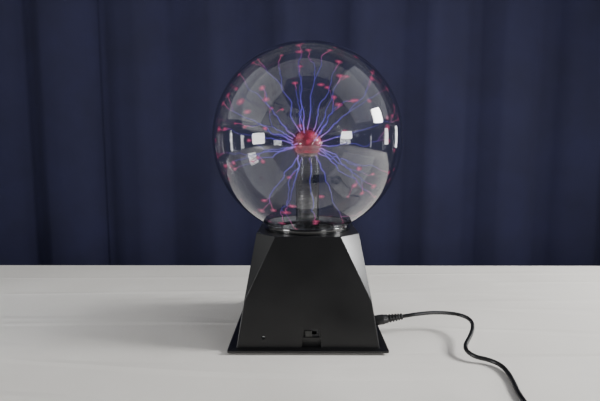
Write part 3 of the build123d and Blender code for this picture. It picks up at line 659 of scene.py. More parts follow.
    @staticmethod
    def modifier(kind: str, **settings: Any) -> None:
        """Adds a modifier to the active object and applies it.

        Args:
            kind: The modifier's type.
            settings: Its settings.
        """
        bpy.ops.object.modifier_add(type=kind)
        added = bpy.context.object.modifiers[-1]
        for key, value in settings.items():
            setattr(added, key, value)
        bpy.ops.object.modifier_apply(modifier=added.name)


# --- camera -----------------------------------------------------------------------------------


@dataclass
class Viewpoint:
    """The camera, level with the collar and looking slightly down."""

    eye: Point = (-0.0058, -0.4735, 0.1893)
    pitch: float = 83.89
    yaw: float = 0.26
    lens: float = 26.4

    def build(self) -> bpy.types.Object:
        """Makes the camera and gives it to the scene."""
        bpy.ops.object.camera_add(location=self.eye,
                                  rotation=(math.radians(self.pitch), 0, math.radians(self.yaw)))
        camera = bpy.context.object
        camera.name = "viewpoint"
        camera.data.lens = self.lens
        camera.data.sensor_width = 36.0
        camera.data.clip_start = 0.01
        bpy.context.scene.camera = camera
        LOG.info("camera at %s", self.eye)
        return camera


# --- power lead -------------------------------------------------------------------------------


@dataclass
class PowerLead:
    """Plug grip, cord with its tied coil, and the adapter."""

    bench: Bench
    jack: Point = (67.43, -23.2, 12.6)
    outward: Point = (0.98752, 0.0, 0.15751)
    plug_length: float = 33.4
    plug_overlap: float = 3.0
    diameter: float = 4.0
    length: float = 1.55
    route: tuple[Point, ...] = (
        (113.0, -22.8, 19.9), (132.0, -18.0, 20.2), (150.0, -15.0, 18.8), (163.0, -16.8, 17.6),
        (170.5, -25.5, 16.6), (169.5, -39.0, 14.8), (160.5, -56.5, 11.6), (145.8, -76.4, 7.6),
        (150.6, -89.4, 5.2), (164.2, -92.7, 3.8), (171.8, -103.2, 2.8), (169.6, -124.5, 2.0),
        (163.8, -146.0, 2.0), (162.6, -169.0, 2.0), (162.0, -190.0, 2.0))
    coil_centre: tuple[float, float] = (136.0, -206.0)
    steps: int = 16
    lanes: tuple[float, ...] = (26.4, 22.3, 18.2, 18.2, 22.3, 26.4, 26.4, 22.3, 18.2)
    layers: tuple[float, ...] = (2.0, 2.0, 2.0, 6.0, 6.0, 6.0, 10.0, 10.0, 10.0)
    coil_exit: tuple[Point, ...] = ((34, 19.4, 13.0), (14, 22.0, 14.4), (-6, 26.0, 13.6), (-24, 29.6, 9.6),
                                    (-40, 31.2, 4.8), (-56, 31.2, 2.0), (-74, 30.4, 2.0))
    lane_change: float = 0.75
    tail: tuple[Point, ...] = ((134.0, -235.6, 2.0), (124.0, -234.6, 4.0), (113.0, -234.0, 11.6),
                               (104.0, -234.0, 13.0), (98.0, -234.0, 13.0))
    nose: Profile = ((2.8, 3.4), (2.8, 0.4), (4.7, 0.4), (5.15, 0.55), (5.3, 1.0), (5.3, 12.6), (5.2, 13.4),
                     (4.85, 14.1))
    grooves: tuple[float, ...] = (18.6, 21.8, 25.0, 28.2, 31.0)
    groove_shape: Profile = ((-1.0, 0.0), (-0.75, 0.12), (-0.6, 0.9), (0.6, 0.9), (0.75, 0.12), (1.0, 0.0))
    grip_taper: float = 0.082
    grip_end: Profile = ((3.35, 32.8), (3.1, 33.25), (2.7, 33.4), (1.9, 33.4), (1.9, 30.0))
    back_half: tuple[Point, Point] = ((36.2, -255.0, 0.0), (84.0, -213.0, 26.0))
    blade_half: tuple[Point, Point] = ((22.0, -255.0, 0.0), (35.8, -213.0, 26.0))
    edge_round: float = 2.5
    ribs: tuple[float, ...] = (70.0, 72.6, 75.2, 77.8)
    rib_edges: tuple[float, ...] = (-0.55, -0.35, 0.35, 0.55)
    rib_waist: Point = (1.0, 0.972, 0.955)
    cord_entry: Point = (84.0, -234.0, 13.0)
    relief_foot: Profile = ((0.0, -4.0), (5.2, -4.0), (5.5, -3.6), (5.5, 1.6), (5.1, 2.4))
    relief_end: Profile = ((3.4, 19.4), (3.0, 20.0), (0.0, 20.0))
    relief_rings: int = 5
    ring_start: float = 4.0
    ring_pitch: float = 3.0
    ring_radius: float = 4.9
    ring_taper: float = 0.28
    ring_shape: Profile = ((0.9, -0.9), (0.9, 0.0), (0.0, 0.15), (0.1, 1.5))

    def at_plug(self, along: float) -> Vector:
        """A point on the plug's own line, in millimetres from the socket."""
        return Vector(self.jack) + Vector(self.outward) * along

    def coil_points(self) -> list[Point]:
        """Turns of the tied coil, wound clockwise in three lanes and three layers.

        Returns:
            The points in millimetres.
        """
        points = []
        last = len(self.lanes) - 1
        for step in range(len(self.lanes) * self.steps - 2):
            turn, part = divmod(step, self.steps)
            after = min(turn + 1, last)
            shift = max(0.0, (part / self.steps - self.lane_change) / (1 - self.lane_change))
            ease = shift * shift * (3 - 2 * shift)
            radius = self.lanes[turn] + (self.lanes[after] - self.lanes[turn]) * ease
            height = self.layers[turn] + (self.layers[after] - self.layers[turn]) * ease
            points.append(self.round_coil(-math.tau * part / self.steps, radius, height))
        points += [self.round_coil(math.radians(degrees), *place) for degrees, *place in self.coil_exit]
        return points

    def round_coil(self, angle: float, radius: float, height: float) -> Point:
        """A point round the coil's middle, in millimetres."""
        x, y = self.coil_centre
        return (x + radius * math.cos(angle), y + radius * math.sin(angle), height)

    def cord(self) -> bpy.types.Object:
        """The cord from plug to adapter as one smooth spline."""
        start = [self.at_plug(self.plug_length + step) for step in (-self.plug_overlap, self.plug_overlap)]
        points = [*start, *self.route, *self.coil_points(), *self.tail]
        curve = bpy.data.curves.new("power_cord_line", "CURVE")
        curve.dimensions = "3D"
        curve.bevel_depth = self.diameter / 2 * MM
        curve.bevel_resolution = 4
        curve.resolution_u = 6
        curve.use_fill_caps = True
        spline = curve.splines.new("NURBS")
        spline.points.add(len(points) - 1)
        for point, place in zip(spline.points, points):
            point.co = (*(Vector(place) * MM), 1.0)
        spline.order_u = 3
        spline.use_endpoint_u = True
        piece = bpy.data.objects.new("power_cord_line", curve)
        bpy.context.collection.objects.link(piece)
        return piece

    def grip(self) -> bpy.types.Object:
        """Moulded plug grip with a ringed strain relief, laid along the socket's line."""
        outline = list(self.nose)
        width_at_nose, end_of_nose = self.nose[-1]
        for groove in self.grooves:
            width = width_at_nose - (groove - end_of_nose) * self.grip_taper
            outline += [(width - depth, groove + step) for step, depth in self.groove_shape]
        outline += self.grip_end
        self.bench.turned("plug_grip", outline, 64, smooth=40.0)
        piece = bpy.context.object
        tilt = Vector((0, 0, 1)).rotation_difference(Vector(self.outward)).to_matrix().to_4x4()
        piece.matrix_world = Matrix.Translation(Vector(self.jack) * MM) @ tilt
        return self.bench.settle("plug_grip", 40.0)

    def tie(self) -> bpy.types.Object:
        """Strap round the coil with a folded clasp."""
        piece = self.bench.refined("coil_tie", "cord_tie")
        self.bench.modifier("BEVEL", width=0.0002, segments=2, limit_method="ANGLE")
        return piece

    def adapter(self) -> list[bpy.types.Object]:
        """Both housing halves, with rounded edges, a seam groove and grip ribs."""
        halves = []
        for name, node, corners, ribs in (("adapter_back_half", "adapter_case", self.back_half, self.ribs),
                                          ("adapter_blade_half", "adapter_cap", self.blade_half, ())):
            self.bench.trimmed_box(*corners)
            bpy.ops.mesh.bevel(offset=self.edge_round * MM, segments=5, affect="EDGES")
            self.bench.tidy_mesh()
            for place in ribs:
                self.groove(place)
            half = self.bench.settle(name, 40.0)
            halves.append(self.bench.finish(half, Body.LEAD, "adapter_plastic", nodes=[node]))
        return halves

    def groove(self, place: float) -> None:
        """Presses one shallow groove round the active box, in edit mode.

        Args:
            place: Its place along X in millimetres.
        """
        for side in self.rib_edges:
            bpy.ops.mesh.select_all(action="SELECT")
            bpy.ops.mesh.bisect(plane_co=((place + side) * MM, 0, 0), plane_no=(1, 0, 0))
        bpy.ops.mesh.select_mode(type="VERT")
        bpy.ops.mesh.select_all(action="DESELECT")
        bpy.ops.object.mode_set(mode="OBJECT")
        middle = Vector((0, *self.cord_entry[1:])) * MM
        reach = (self.rib_edges[2] + self.rib_edges[3]) / 2
        for vertex in bpy.context.object.data.vertices:
            vertex.select = abs(vertex.co.x / MM - place) < reach
        bpy.ops.object.mode_set(mode="EDIT")
        bpy.ops.transform.resize(value=self.rib_waist, center_override=middle)

    def relief(self) -> bpy.types.Object:
        """Ringed strain relief where the cord enters the adapter."""
        outline = list(self.relief_foot)
        for ring in range(self.relief_rings):
            start = self.ring_start + self.ring_pitch * ring
            width = self.ring_radius - self.ring_taper * ring
            outline += [(width - inset, start + step) for inset, step in self.ring_shape]
        outline += self.relief_end
        self.bench.turned("adapter_relief", outline, 48, smooth=40.0)
        piece = bpy.context.object
        laid = Matrix.Rotation(math.pi / 2, 4, "Y")
        piece.matrix_world = Matrix.Translation(Vector(self.cord_entry) * MM) @ laid
        return self.bench.settle("adapter_relief", 40.0)

    def build(self) -> None:
        """Makes and joins every piece of the lead."""
        bench = self.bench
        cord = self.cord()
        grip = bench.finish(self.grip(), Body.LEAD, "plug_pvc", nodes=["dc_plug_grip"])
        tie = bench.finish(self.tie(), Body.LEAD, "tie_strap", nodes=["cord_tie"])
        halves = self.adapter()
        relief = bench.finish(self.relief(), Body.LEAD, "plug_pvc", nodes=["adapter_strain_relief"])
        bench.finish(cord, Body.LEAD, "cord_pvc", nodes=["power_cord", "cord_coil", "cord_tail"])


# --- globe ------------------------------------------------------------------------------------


@dataclass(frozen=True)
class Streamer:
    """One discharge: where it leaves the electrode and the places on the glass that its forks reach.

    Each place is a bearing from the front, positive to the right, and a height above the horizon, in degrees.
    """

    root: tuple[float, float]
    feet: tuple[tuple[float, float], ...]
    fork: float = 0.5


STREAMERS = (
    Streamer((0, 34), ((0, 55), (22, 56)), 0.62),
    Streamer((16, 32), ((23, 44),), 0.6),
    Streamer((-18, 26), ((-23, 50), (-50, 50)), 0.58),
    Streamer((-30, 16), ((-28, 26), (-66, 40)), 0.52),
    Streamer((-5, 16), ((-8, 28),), 0.5),
    Streamer((-34, 5), ((-64, 20),), 0.5),
    Streamer((-38, 3), ((-62, 5),), 0.5),
    Streamer((-14, 0), ((-23, 4),), 0.5),
    Streamer((-20, -5), ((-33, -2), (-32, -13)), 0.5),
    Streamer((-20, -24), ((-32, -37), (-42, -46)), 0.6),
    Streamer((-14, -32), ((-31, -59),), 0.5),
    Streamer((26, -3), ((50, -2),), 0.5),
    Streamer((8, 4), ((16, 16),), 0.5),
    Streamer((22, -10), ((29, -17), (58, -20)), 0.4),
    Streamer((26, -20), ((57, -36),), 0.5),
    Streamer((18, -24), ((66, -65),), 0.5),
    Streamer((36, 18), ((74, 31), (47, 34)), 0.45),
    Streamer((-8, 30), ((-12, 64),), 0.6),
    Streamer((12, 14), ((20, 33),), 0.5),
    Streamer((-26, -28), ((-18, -46),), 0.6),
    Streamer((30, -14), ((46, -28),), 0.5),
    Streamer((-40, -10), ((-76, -9), (-58, -16)), 0.45),
    Streamer((40, 6), ((78, 12),), 0.5),
    Streamer((4, -30), ((8, -58),), 0.6),
    Streamer((150, 22), ((160, 42), (138, 30)), 0.55),
    Streamer((-145, 12), ((-150, 25), (-128, 10)), 0.5),
    Streamer((180, -8), ((175, -12), (-165, -28)), 0.5),
    Streamer((125, -14), ((118, -24), (134, -34)), 0.6),
    Streamer((-115, -10), ((-112, -20),), 0.5),
    Streamer((-160, 40), ((-170, 62),), 0.5),
)
SPOTS = (
    (7, 27), (-35, 13), (-42, 19), (-72, -1), (-51, -16), (-60, -24), (-61, -39), (-60, -50), (79, -19),
    (71, -25), (55, -49), (8, -55), (-52, -60), (56, 12), (58, -7), (36, 19), (66, 43), (58, 55), (40, 65),
    (-11, 71), (-48, 68), (-8, 53), (150, 8), (-140, -12), (165, -45), (-100, 35), (105, 15), (-175, 12))


@dataclass
class Globe:
    """Glass globe, its stem with spring and electrode, and the discharge."""

    bench: Bench
    radius: float = 100.0
    wall: float = 2.0
    neck_radius: float = 30.0
    neck_end: float = 88.7
    neck_top: float = 100.0
    arc_points: int = 72
    globe_steps: int = 160
    stem_steps: int = 96
    seal: Profile = ((29.7, 86.75), (29.7, 88.5), (24.0, 88.7), (18.7, 88.9), (15.6, 90.0), (13.6, 92.2),
                     (12.8, 94.8))
    stem_radius: float = 12.7
    stem_wall: float = 1.0
    stem_levels: tuple[float, ...] = (98.0, 130.0, 160.0)
    bore_levels: tuple[float, ...] = (160.0, 98.0, 88.0, 86.75)
    shoulder: Profile = ((0.0, 13.4), (0.15, 12.0), (0.5, 11.2))
    bulb_radius: float = 16.5
    bulb_wall: float = 1.2
    filling_gap: float = 1.25
    filling_drop: float = 9.5
    spring_span: tuple[float, float] = (97.45, 188.15)
    spring_radius: float = 10.0
    spring_pitch: float = 4.05
    spring_wire: float = 0.45
    spring_steps: int = 28
    root_flatness: float = 0.3
    trunk_points: int = 14
    trunk_sway: float = 3.2
    fork_points: int = 18
    fork_sway: float = 3.0
    twig_points: int = 9
    twig_sway: float = 1.2
    root_lift: float = 3.0
    fork_bulge: float = 9.0
    trunk_widths: tuple[float, float] = (1.4, 0.9)
    fork_widths: tuple[float, float] = (0.85, 0.5)
    twig_widths: tuple[float, float] = (0.55, 0.45)
    twig_odds: float = 0.55
    twig_reach: float = 16.0
    ripples: tuple[float, ...] = (1.6, 3.3, 6.1, 11.0)
    core_width: float = 0.14
    haze_width: float = 0.75
    foot_size: float = 1.35
    foot_haze_size: float = 3.2
    foot_thickness: float = 0.22
    foot_rise: float = 0.6
    halo_gap: float = 1.1
    seed: int = 41

    def sphere_arc(self, radius: float, start: float, end: float, count: int,
                   middle: float) -> list[tuple[float, float]]:
        """Points on an upright arc, with a point at the top set on the axis."""
        degrees = [start + (end - start) * i / (count - 1) for i in range(count)]
        return [(0.0 if abs(angle) == 90 else radius * math.cos(math.radians(angle)),
                 middle + radius * math.sin(math.radians(angle))) for angle in degrees]

    def glass(self) -> bpy.types.Object:
        """The globe with its wall and short neck."""
        inner = self.radius - self.wall
        inner_neck = self.neck_radius - self.wall
        low_out = -math.degrees(math.acos(self.neck_radius / self.radius))
        low_in = -math.degrees(math.acos(inner_neck / inner))
        outside = [(self.neck_radius, self.neck_end), (self.neck_radius, self.neck_top)]
        outside += self.sphere_arc(self.radius, low_out, 90, self.arc_points, GLOBE_CENTRE)
        inside = self.sphere_arc(inner, 90, low_in, self.arc_points, GLOBE_CENTRE)
        inside += [(inner_neck, self.neck_top), (inner_neck, self.neck_end)]
        return self.walled("globe", outside, inside, self.globe_steps)

    def walled(self, name: str, outside: list[tuple[float, float]], inside: list[tuple[float, float]],
               steps: int) -> bpy.types.Object:
        """A closed glass wall between two turned outlines, joined round their open rim.

        Args:
            name: The piece's name.
            outside: Outer outline, radius and height pairs in millimetres.
            inside: Inner outline.
            steps: Number of steps round.

        Returns:
            The wall.
        """
        shell = self.bench.turned(name, outside, steps)
        self.bench.turned(f"{name}_inside", inside, steps)
        bpy.ops.object.mode_set(mode="EDIT")
        bpy.ops.mesh.select_all(action="SELECT")
        bpy.ops.mesh.flip_normals()
        bpy.ops.object.mode_set(mode="OBJECT")
        shell.select_set(True)
        bpy.context.view_layer.objects.active = shell
        bpy.ops.object.join()
        bpy.ops.object.mode_set(mode="EDIT")
        bpy.ops.mesh.select_mode(type="EDGE")
        bpy.ops.mesh.select_all(action="DESELECT")
        bpy.ops.mesh.select_non_manifold(extend=False)
        bpy.ops.mesh.bridge_edge_loops()
        return self.bench.settle(name, 50.0)

    def stem(self) -> bpy.types.Object:
        """Stem tube with the electrode's bulb and the flared seal."""
        bulb, tube, inner = self.bulb_radius, self.stem_radius, self.bulb_radius - self.bulb_wall
        bore = tube - self.stem_wall
        join = -math.degrees(math.acos(tube / bulb))
        outside = list(self.seal) + [(tube, level) for level in self.stem_levels]
        outside += [(tube + swell, BULB_CENTRE - drop) for swell, drop in self.shoulder]
        outside += self.sphere_arc(bulb, join + 6, 90, 40, BULB_CENTRE)
        inside = self.sphere_arc(inner, 90, -math.degrees(math.acos(bore / inner)), 40, BULB_CENTRE)
        inside += [(bore, level) for level in self.bore_levels]
        return self.walled("stem", outside, inside, self.stem_steps)

    def spring(self) -> bpy.types.Object:
        """Coiled contact spring up the stem."""
        low, high = self.spring_span
        steps = self.spring_steps
        count = int((high - low) / self.spring_pitch * steps)
        run = []
        for step in range(count + 1):
            angle = math.tau * step / steps
            height = low + (high - low) * step / count
            run.append((Vector((self.spring_radius * math.cos(angle), self.spring_radius * math.sin(angle),
                                height)) * MM, 1.0))
        return self.bench.strands("contact_spring", [run], self.spring_wire * MM)

    def core(self) -> bpy.types.Object:
        """Glowing filling with its flat underside."""
        radius = self.bulb_radius - self.filling_gap
        flat = -math.degrees(math.asin(self.filling_drop / radius))
        outline = [(0.0, BULB_CENTRE - self.filling_drop)]
        outline += self.sphere_arc(radius, flat, 90, 34, BULB_CENTRE)
        return self.bench.turned("electrode_filling", outline, 72, smooth=50.0)

    def aim(self, place: tuple[float, float]) -> Vector:
        """Direction of a bearing and height."""
        bearing, height = (math.radians(value) for value in place)
        return Vector((math.sin(bearing) * math.cos(height), -math.cos(bearing) * math.cos(height),
                       math.sin(height)))

    def on_glass(self, place: tuple[float, float]) -> Vector:
        """The point just inside the glass at a bearing and height, in millimetres."""
        return self.middle() + self.aim(place) * self.reach()

    @staticmethod
    def middle() -> Vector:
        """The globe's middle, in millimetres."""
        return Vector((0, 0, GLOBE_CENTRE))

    def reach(self) -> float:
        """Distance from the globe's middle at which the discharge ends, in millimetres."""
        return self.radius - self.wall - 1.0

    def run(self, chance: random.Random, start: Vector, bend: Vector, end: Vector, count: int, sway: float,
            widths: tuple[float, float]) -> Run:
        """One wandering run of the discharge.

        Args:
            chance: Source of the wander.
            start: First point in millimetres.
            bend: Point that draws the run towards itself.
            end: Last point.
            count: Number of points.
            sway: Largest sideways wander.
            widths: Width factor at both ends.

        Returns:
            Points in metres with their width factors.
        """
        along = (end - start).normalized()
        side = along.orthogonal().normalized()
        up = along.cross(side)
        waves = [(chance.uniform(-1, 1), chance.uniform(-1, 1), rate, chance.uniform(0, math.tau))
                 for rate in self.ripples]
        points = []
        for step in range(count):
            t = step / (count - 1)
            place = start * (1 - t) ** 2 + bend * 2 * t * (1 - t) + end * t * t
            fade = math.sin(math.pi * t) ** 0.7 if 0 < t < 1 else 0.0
            for number, (a, b, rate, phase) in enumerate(waves):
                swing = math.sin(rate * math.pi * t + phase) * sway * fade / (1 + number) ** 1.15
                place += side * (a * swing) + up * (b * swing)
            points.append((place * MM, widths[0] + (widths[1] - widths[0]) * t))
        return points

    def paths(self) -> list[Run]:
        """Every run of the discharge, trunks first forked towards the glass.

        Returns:
            The runs.
        """
        chance = random.Random(self.seed)
        core = Vector((0, 0, BULB_CENTRE))
        runs = []
        for streamer in STREAMERS:
            aim = self.aim(streamer.root)
            root = Vector((aim.x, aim.y * self.root_flatness, aim.z)).normalized()
            start = core + root * (self.bulb_radius + 0.1)
            feet = [self.on_glass(foot) for foot in streamer.feet]
            mean = sum(feet, Vector()) / len(feet)
            split = start.lerp(mean, streamer.fork) + root * self.root_lift
            bend = start.lerp(split, 0.5) + root * self.root_lift
            runs.append(self.run(chance, start, bend, split, self.trunk_points, self.trunk_sway,
                                 self.trunk_widths))
            for foot in feet:
                bend = split.lerp(foot, 0.45) + (split - start).normalized() * self.fork_bulge
                run = self.run(chance, split, bend, foot, self.fork_points, self.fork_sway, self.fork_widths)
                runs.append(run)
                if chance.random() < self.twig_odds:
                    place = run[chance.randint(6, 13)][0] / MM
                    drift = Vector((chance.uniform(-1, 1), chance.uniform(-1, 1), chance.uniform(-1, 1)))
                    out = foot + drift * self.twig_reach - self.middle()
                    tip = self.middle() + out.normalized() * self.reach()
                    runs.append(self.run(chance, place, place.lerp(tip, 0.5), tip, self.twig_points,
                                         self.twig_sway, self.twig_widths))
        return runs

    def spots(self, name: str, size: float, ends: list[Vector]) -> bpy.types.Object:
        """Soft discs where the discharge meets the glass.

        Args:
            name: The piece's name.
            size: Radius of a middling disc, in millimetres.
            ends: Places on the inside of the glass, in millimetres.

        Returns:
            All the discs as one mesh.
        """
        chance = random.Random(self.seed + 1)
        self.bench.clear()
        for number, end in enumerate(ends):
            radius = size * chance.uniform(0.6, 1.25) * MM
            out = (end - self.middle()).normalized()
            shape = (chance.uniform(1.0, 1.5), chance.uniform(0.6, 0.9), self.foot_thickness)
            turn = out.to_track_quat("Z", "Y").to_euler()
            bpy.ops.mesh.primitive_ico_sphere_add(subdivisions=2, radius=radius, rotation=turn, scale=shape,
                                                  location=(end - out * self.foot_rise) * MM)
            if number == 0:
                bpy.ops.object.transform_apply(location=True, rotation=True, scale=True)
                bpy.ops.object.mode_set(mode="EDIT")
        return self.bench.settle(name, 80.0)

    def build(self) -> None:
        """Makes and joins every piece of the globe."""
        bench = self.bench
        bench.finish(self.glass(), Body.BASE, "globe_glass", nodes=["glass_globe"])
        bench.finish(self.stem(), Body.BASE, "stem_glass", nodes=["glass_stem"])
        bench.finish(self.spring(), Body.BASE, "spring_steel", nodes=["stem_spring"])
        bench.finish(self.core(), Body.BASE, "electrode_glow", nodes=["electrode_core"])
        runs = self.paths()
        ends = [run[-1][0] / MM for run in runs]
        ends = [end for end in ends if (end - self.middle()).length > self.reach() - 1.0]
        ends += [self.on_glass(spot) for spot in SPOTS]
        self.glow(bench.strands("discharge_core", runs, self.core_width * MM), "discharge_core_glow",
                  1.3, 0.7)
        self.glow(bench.strands("discharge_haze", runs, self.haze_width * MM), "discharge_haze_glow",
                  0.8, 0.10)
        self.glow(self.spots("discharge_feet", self.foot_size, ends), "discharge_foot_glow", 0.9, 0.24,
                  foot=(1.0, 0.16, 0.30))
        self.glow(self.spots("discharge_foot_haze", self.foot_haze_size, ends), "discharge_foot_haze_glow",
                  0.8, 0.12, foot=(0.85, 0.10, 0.30))
        arc = self.sphere_arc(self.bulb_radius + self.halo_gap, -52, 90, 28, BULB_CENTRE)
        self.glow(bench.turned("electrode_halo", arc, 48, smooth=60.0), "electrode_halo_glow", 1.5, 0.014,
                  root=(1.0, 0.08, 0.50))

    def glow(self, piece: bpy.types.Object, name: str, strength: float, thickness: float,
             **tints: Colour) -> None:
        """Dresses a piece of the discharge and joins it to the frame.

        Args:
            piece: The object.
            name: The finish's name.
            strength: Brightness of the gas.
            thickness: How much the gas covers.
            tints: Colours other than the usual ones.
        """
        centre = (0.0, 0.0, GLOBE_CENTRE * MM)
        gas = Discharge(name, centre, (self.radius - self.wall) * MM, strength, thickness, **tints)
        self.bench.finish(piece, Body.BASE, "electrode_glow", gas)


# --- base -------------------------------------------------------------------------------------


@dataclass
class Base:
    """Housing with its collar, plate, feet, switch and socket."""

    bench: Bench
    collar_radius: float = 46.3
    collar_bore: float = 32.1
    spigot_radius: float = 39.8
    spigot_end: float = 100.4
    top: float = 108.7
    lip: float = 114.6
    step_profile: Profile = ((0.6, 0.1), (0.1, 0.35), (0.0, 0.8), (0.0, 1.7), (0.55, 2.05), (0.55, 2.4),
                             (0.1, 2.75))
    lip_profile: Profile = ((0.05, 1.3), (0.2, 0.7), (0.5, 0.3), (0.95, 0.08), (1.3, 0.05), (1.6, 0.2))
    seat_radius: float = 100.2
    gasket_radius: float = 101.25
    seat: tuple[float, ...] = (44.4, 43.5)
    gasket_seat: tuple[float, ...] = (43.4, 38.0, 34.0, 32.1)

    def collar(self) -> bpy.types.Object:
        """Glossy ring under the globe, with a rolled lip and a fine step."""
        outer = self.collar_radius
        outline = [(self.collar_bore, self.spigot_end), (self.spigot_radius, self.spigot_end),
                   (self.spigot_radius, self.top + 0.1)]
        outline += [(outer - inset, self.top + rise) for inset, rise in self.step_profile]
        outline += [(outer - inset, self.lip - drop) for inset, drop in self.lip_profile]
        for hollow, radii in ((self.seat_radius, self.seat), (self.gasket_radius, self.gasket_seat)):
            outline += [(radius, GLOBE_CENTRE - math.sqrt(hollow ** 2 - radius ** 2)) for radius in radii]
        return self.bench.turned("collar", outline, 160, closed=True, smooth=32.0)

    def build(self) -> None:
        """Makes and joins every piece of the base."""
        bench = self.bench
        bench.finish(bench.refined("housing", "base_shell", 24.0), Body.BASE, "black_housing",
                     nodes=["base_shell"])
        bench.finish(self.collar(), Body.BASE, "gloss_black", nodes=["globe_collar"])
        for name, node, slot, finish in (("foot_pads", "rubber_feet", "foot_rubber", None),
                                         ("base_plate", "bottom_plate", "black_inner", None),
                                         ("switch_surround", "switch_frame", "black_inner", None),
                                         ("socket_nose", "dc_jack_body", "black_inner", None),
                                         ("brass_cap", "electrode_cap", "brass", TARNISHED_CAP),
                                         ("spring_seat", "hv_terminal", "brass", TARNISHED_CAP)):
            bench.finish(bench.refined(name, node), Body.BASE, slot, finish, nodes=[node])
        bench.finish(bench.refined("slide_knob", "switch_knob", 25.0), Body.SLIDER, "knob_grey",
                     nodes=["switch_knob"])


@dataclass
class Innards:
    """The CAD solids that stay, each given its slot's finish."""

    bench: Bench

    def build(self) -> None:
        """Dresses every CAD node by the slot that it was packed with."""
        for name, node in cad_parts.items():
            solid = bpy.data.objects[name]
            for number, slot in enumerate(solid.material_slots):
                packed = slot.material.name.split(".")[0] if slot.material else ""
                if packed in SLOT_FINISHES:
                    solid.data.materials[number] = self.bench.finishes.take(SLOT_FINISHES[packed])
            LOG.info("%s dressed", name)


# --- studio -----------------------------------------------------------------------------------


@dataclass(frozen=True)
class Lamp:
    """A soft rectangular lamp seen from the globe in a given direction."""

    name: str
    direction: Point
    distance: float
    width: float
    height: float
    power: float

    def build(self, target: Vector) -> None:
        """Makes the lamp.

        Args:
            target: The point that it faces.
        """
        where = target + Vector(self.direction).normalized() * self.distance
        bpy.ops.object.light_add(type="AREA", location=where)
        lamp = bpy.context.object
        lamp.name = self.name
        lamp.data.shape = "RECTANGLE"
        lamp.data.size = self.width
        lamp.data.size_y = self.height
        lamp.data.energy = self.power
        lamp.rotation_euler = (target - where).to_track_quat("-Z", "Y").to_euler()


LAMPS = (
    Lamp("key_softbox", (0.93, -0.06, 0.32), 1.3, 0.32, 0.26, 24.0),
    Lamp("right_front_box", (0.668, -0.744, 0.055), 1.5, 0.31, 0.18, 7.0),
    Lamp("left_front_box", (-0.824, -0.567, 0.0), 1.5, 0.40, 0.28, 12.0),
    Lamp("right_strip", (0.986, 0.166, 0.045), 2.0, 0.18, 0.40, 4.0),
    Lamp("rear_strip", (0.846, 0.531, 0.045), 2.0, 0.14, 0.40, 2.0),
    Lamp("left_strip", (-0.95, 0.12, 0.04), 2.0, 0.07, 0.34, 0.4),
    Lamp("left_panel", (-0.78, -0.12, 0.62), 2.3, 2.4, 1.9, 11.0),
    Lamp("right_panel", (0.78, -0.12, 0.62), 2.3, 2.4, 1.9, 11.0))


@dataclass(frozen=True)
class TableCloth:
    """Pale cloth with faint clouding, a fine weave and a few soft creases."""

    name: str = "pale_table_cloth"
    low: Colour = (0.80, 0.77, 0.715)
    high: Colour = (0.86, 0.83, 0.775)
    crease_reach: float = 26.0
    depth: float = 0.0009

    def make(self) -> bpy.types.Material:
        """Writes the material."""
        shader = Shader(self.name)
        where = shader.place()
        cloud = shader.noise(where, 0.12, 4.0)
        fine = shader.noise(where, 0.0012, 2.0)
        crease = shader.noise(shader.place(scale=(0.3, 3.0, 1.0), turn=(0, 0, 0.35)), 0.25, 2.0, 0.3)
        ridge = 1 - (crease - 0.5).size() * self.crease_reach
        fold = ridge * ridge.over(0.0)
        return shader.close(shader.surface({
            "Base Color": shader.ramp(cloud, [(0.3, self.low), (0.7, self.high)]),
            "Roughness": 0.75 + (cloud - 0.5) * 0.1,
            "Normal": shader.bump(fold * 0.6 + fine * 0.12, self.depth)}))


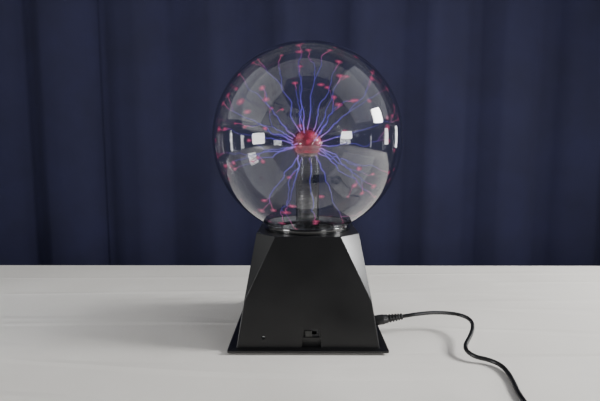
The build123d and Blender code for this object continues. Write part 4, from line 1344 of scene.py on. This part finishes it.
@dataclass
class Studio:
    """Pale table, dark backdrop and soft lamps, in metres."""

    bench: Bench
    back_edge: float = 0.261
    table_size: Point = (2.6, 1.6, 0.03)
    curtain_size: Point = (5.0, 2.6, 1.0)
    curtain_cuts: int = 90
    curtain_behind: float = 1.5
    curtain_lift: float = 0.35
    folds: tuple[Point, ...] = ((0.035, 19.0, 0.0), (0.018, 41.0, 1.3))
    room: Colour = (0.055, 0.06, 0.07)
    lamp_target: Point = (0.0, 0.0, 0.2)

    def table(self) -> None:
        """Pale table top with a soft front and back edge."""
        self.bench.clear()
        _, depth, thickness = self.table_size
        bpy.ops.mesh.primitive_cube_add(size=1.0)
        bpy.ops.transform.resize(value=self.table_size)
        bpy.ops.transform.translate(value=(0, self.back_edge - depth / 2, -thickness / 2))
        bpy.ops.object.transform_apply(location=True, rotation=True, scale=True)
        self.bench.modifier("BEVEL", width=0.004, segments=4)
        table = self.bench.settle("table_top", 40.0)
        self.bench.finishes.dress(table, TableCloth())

    def backdrop(self) -> None:
        """Dark curtain behind the table."""
        self.bench.clear()
        bpy.ops.mesh.primitive_plane_add(size=1.0)
        bpy.ops.transform.resize(value=self.curtain_size)
        bpy.ops.transform.rotate(value=math.pi / 2, orient_axis="X", center_override=(0, 0, 0))
        bpy.ops.object.transform_apply(location=True, rotation=True, scale=True)
        bpy.ops.object.mode_set(mode="EDIT")
        bpy.ops.mesh.select_all(action="SELECT")
        bpy.ops.mesh.subdivide(number_cuts=self.curtain_cuts)
        bpy.ops.object.mode_set(mode="OBJECT")
        for vertex in bpy.context.object.data.vertices:
            x = vertex.co.x
            vertex.co.y = self.curtain_behind + sum(deep * math.sin(x * rate + start)
                                                    for deep, rate, start in self.folds)
            vertex.co.z += self.curtain_lift
        curtain = self.bench.settle("backdrop", 80.0)
        self.bench.finishes.dress(curtain, CURTAIN)

    def build(self) -> None:
        """Makes the stage and the lamps."""
        self.table()
        self.backdrop()
        for lamp in LAMPS:
            lamp.build(Vector(self.lamp_target))
        world = bpy.data.worlds.new("dim_room")
        bpy.context.scene.world = world
        world.use_nodes = True
        background = world.node_tree.nodes["Background"]
        background.inputs[0].default_value = (*self.room, 1.0)
        background.inputs[1].default_value = 1.0


def main() -> None:
    """Builds the camera, the lead, the object and the studio, and reports each piece."""
    logging.basicConfig(level=logging.INFO, format="%(name)s: %(message)s")
    Viewpoint().build()
    bench = Bench(Finishes())
    PowerLead(bench).build()
    Innards(bench).build()
    Globe(bench).build()
    Base(bench).build()
    Studio(bench).build()


if __name__ == "__main__":
    main()
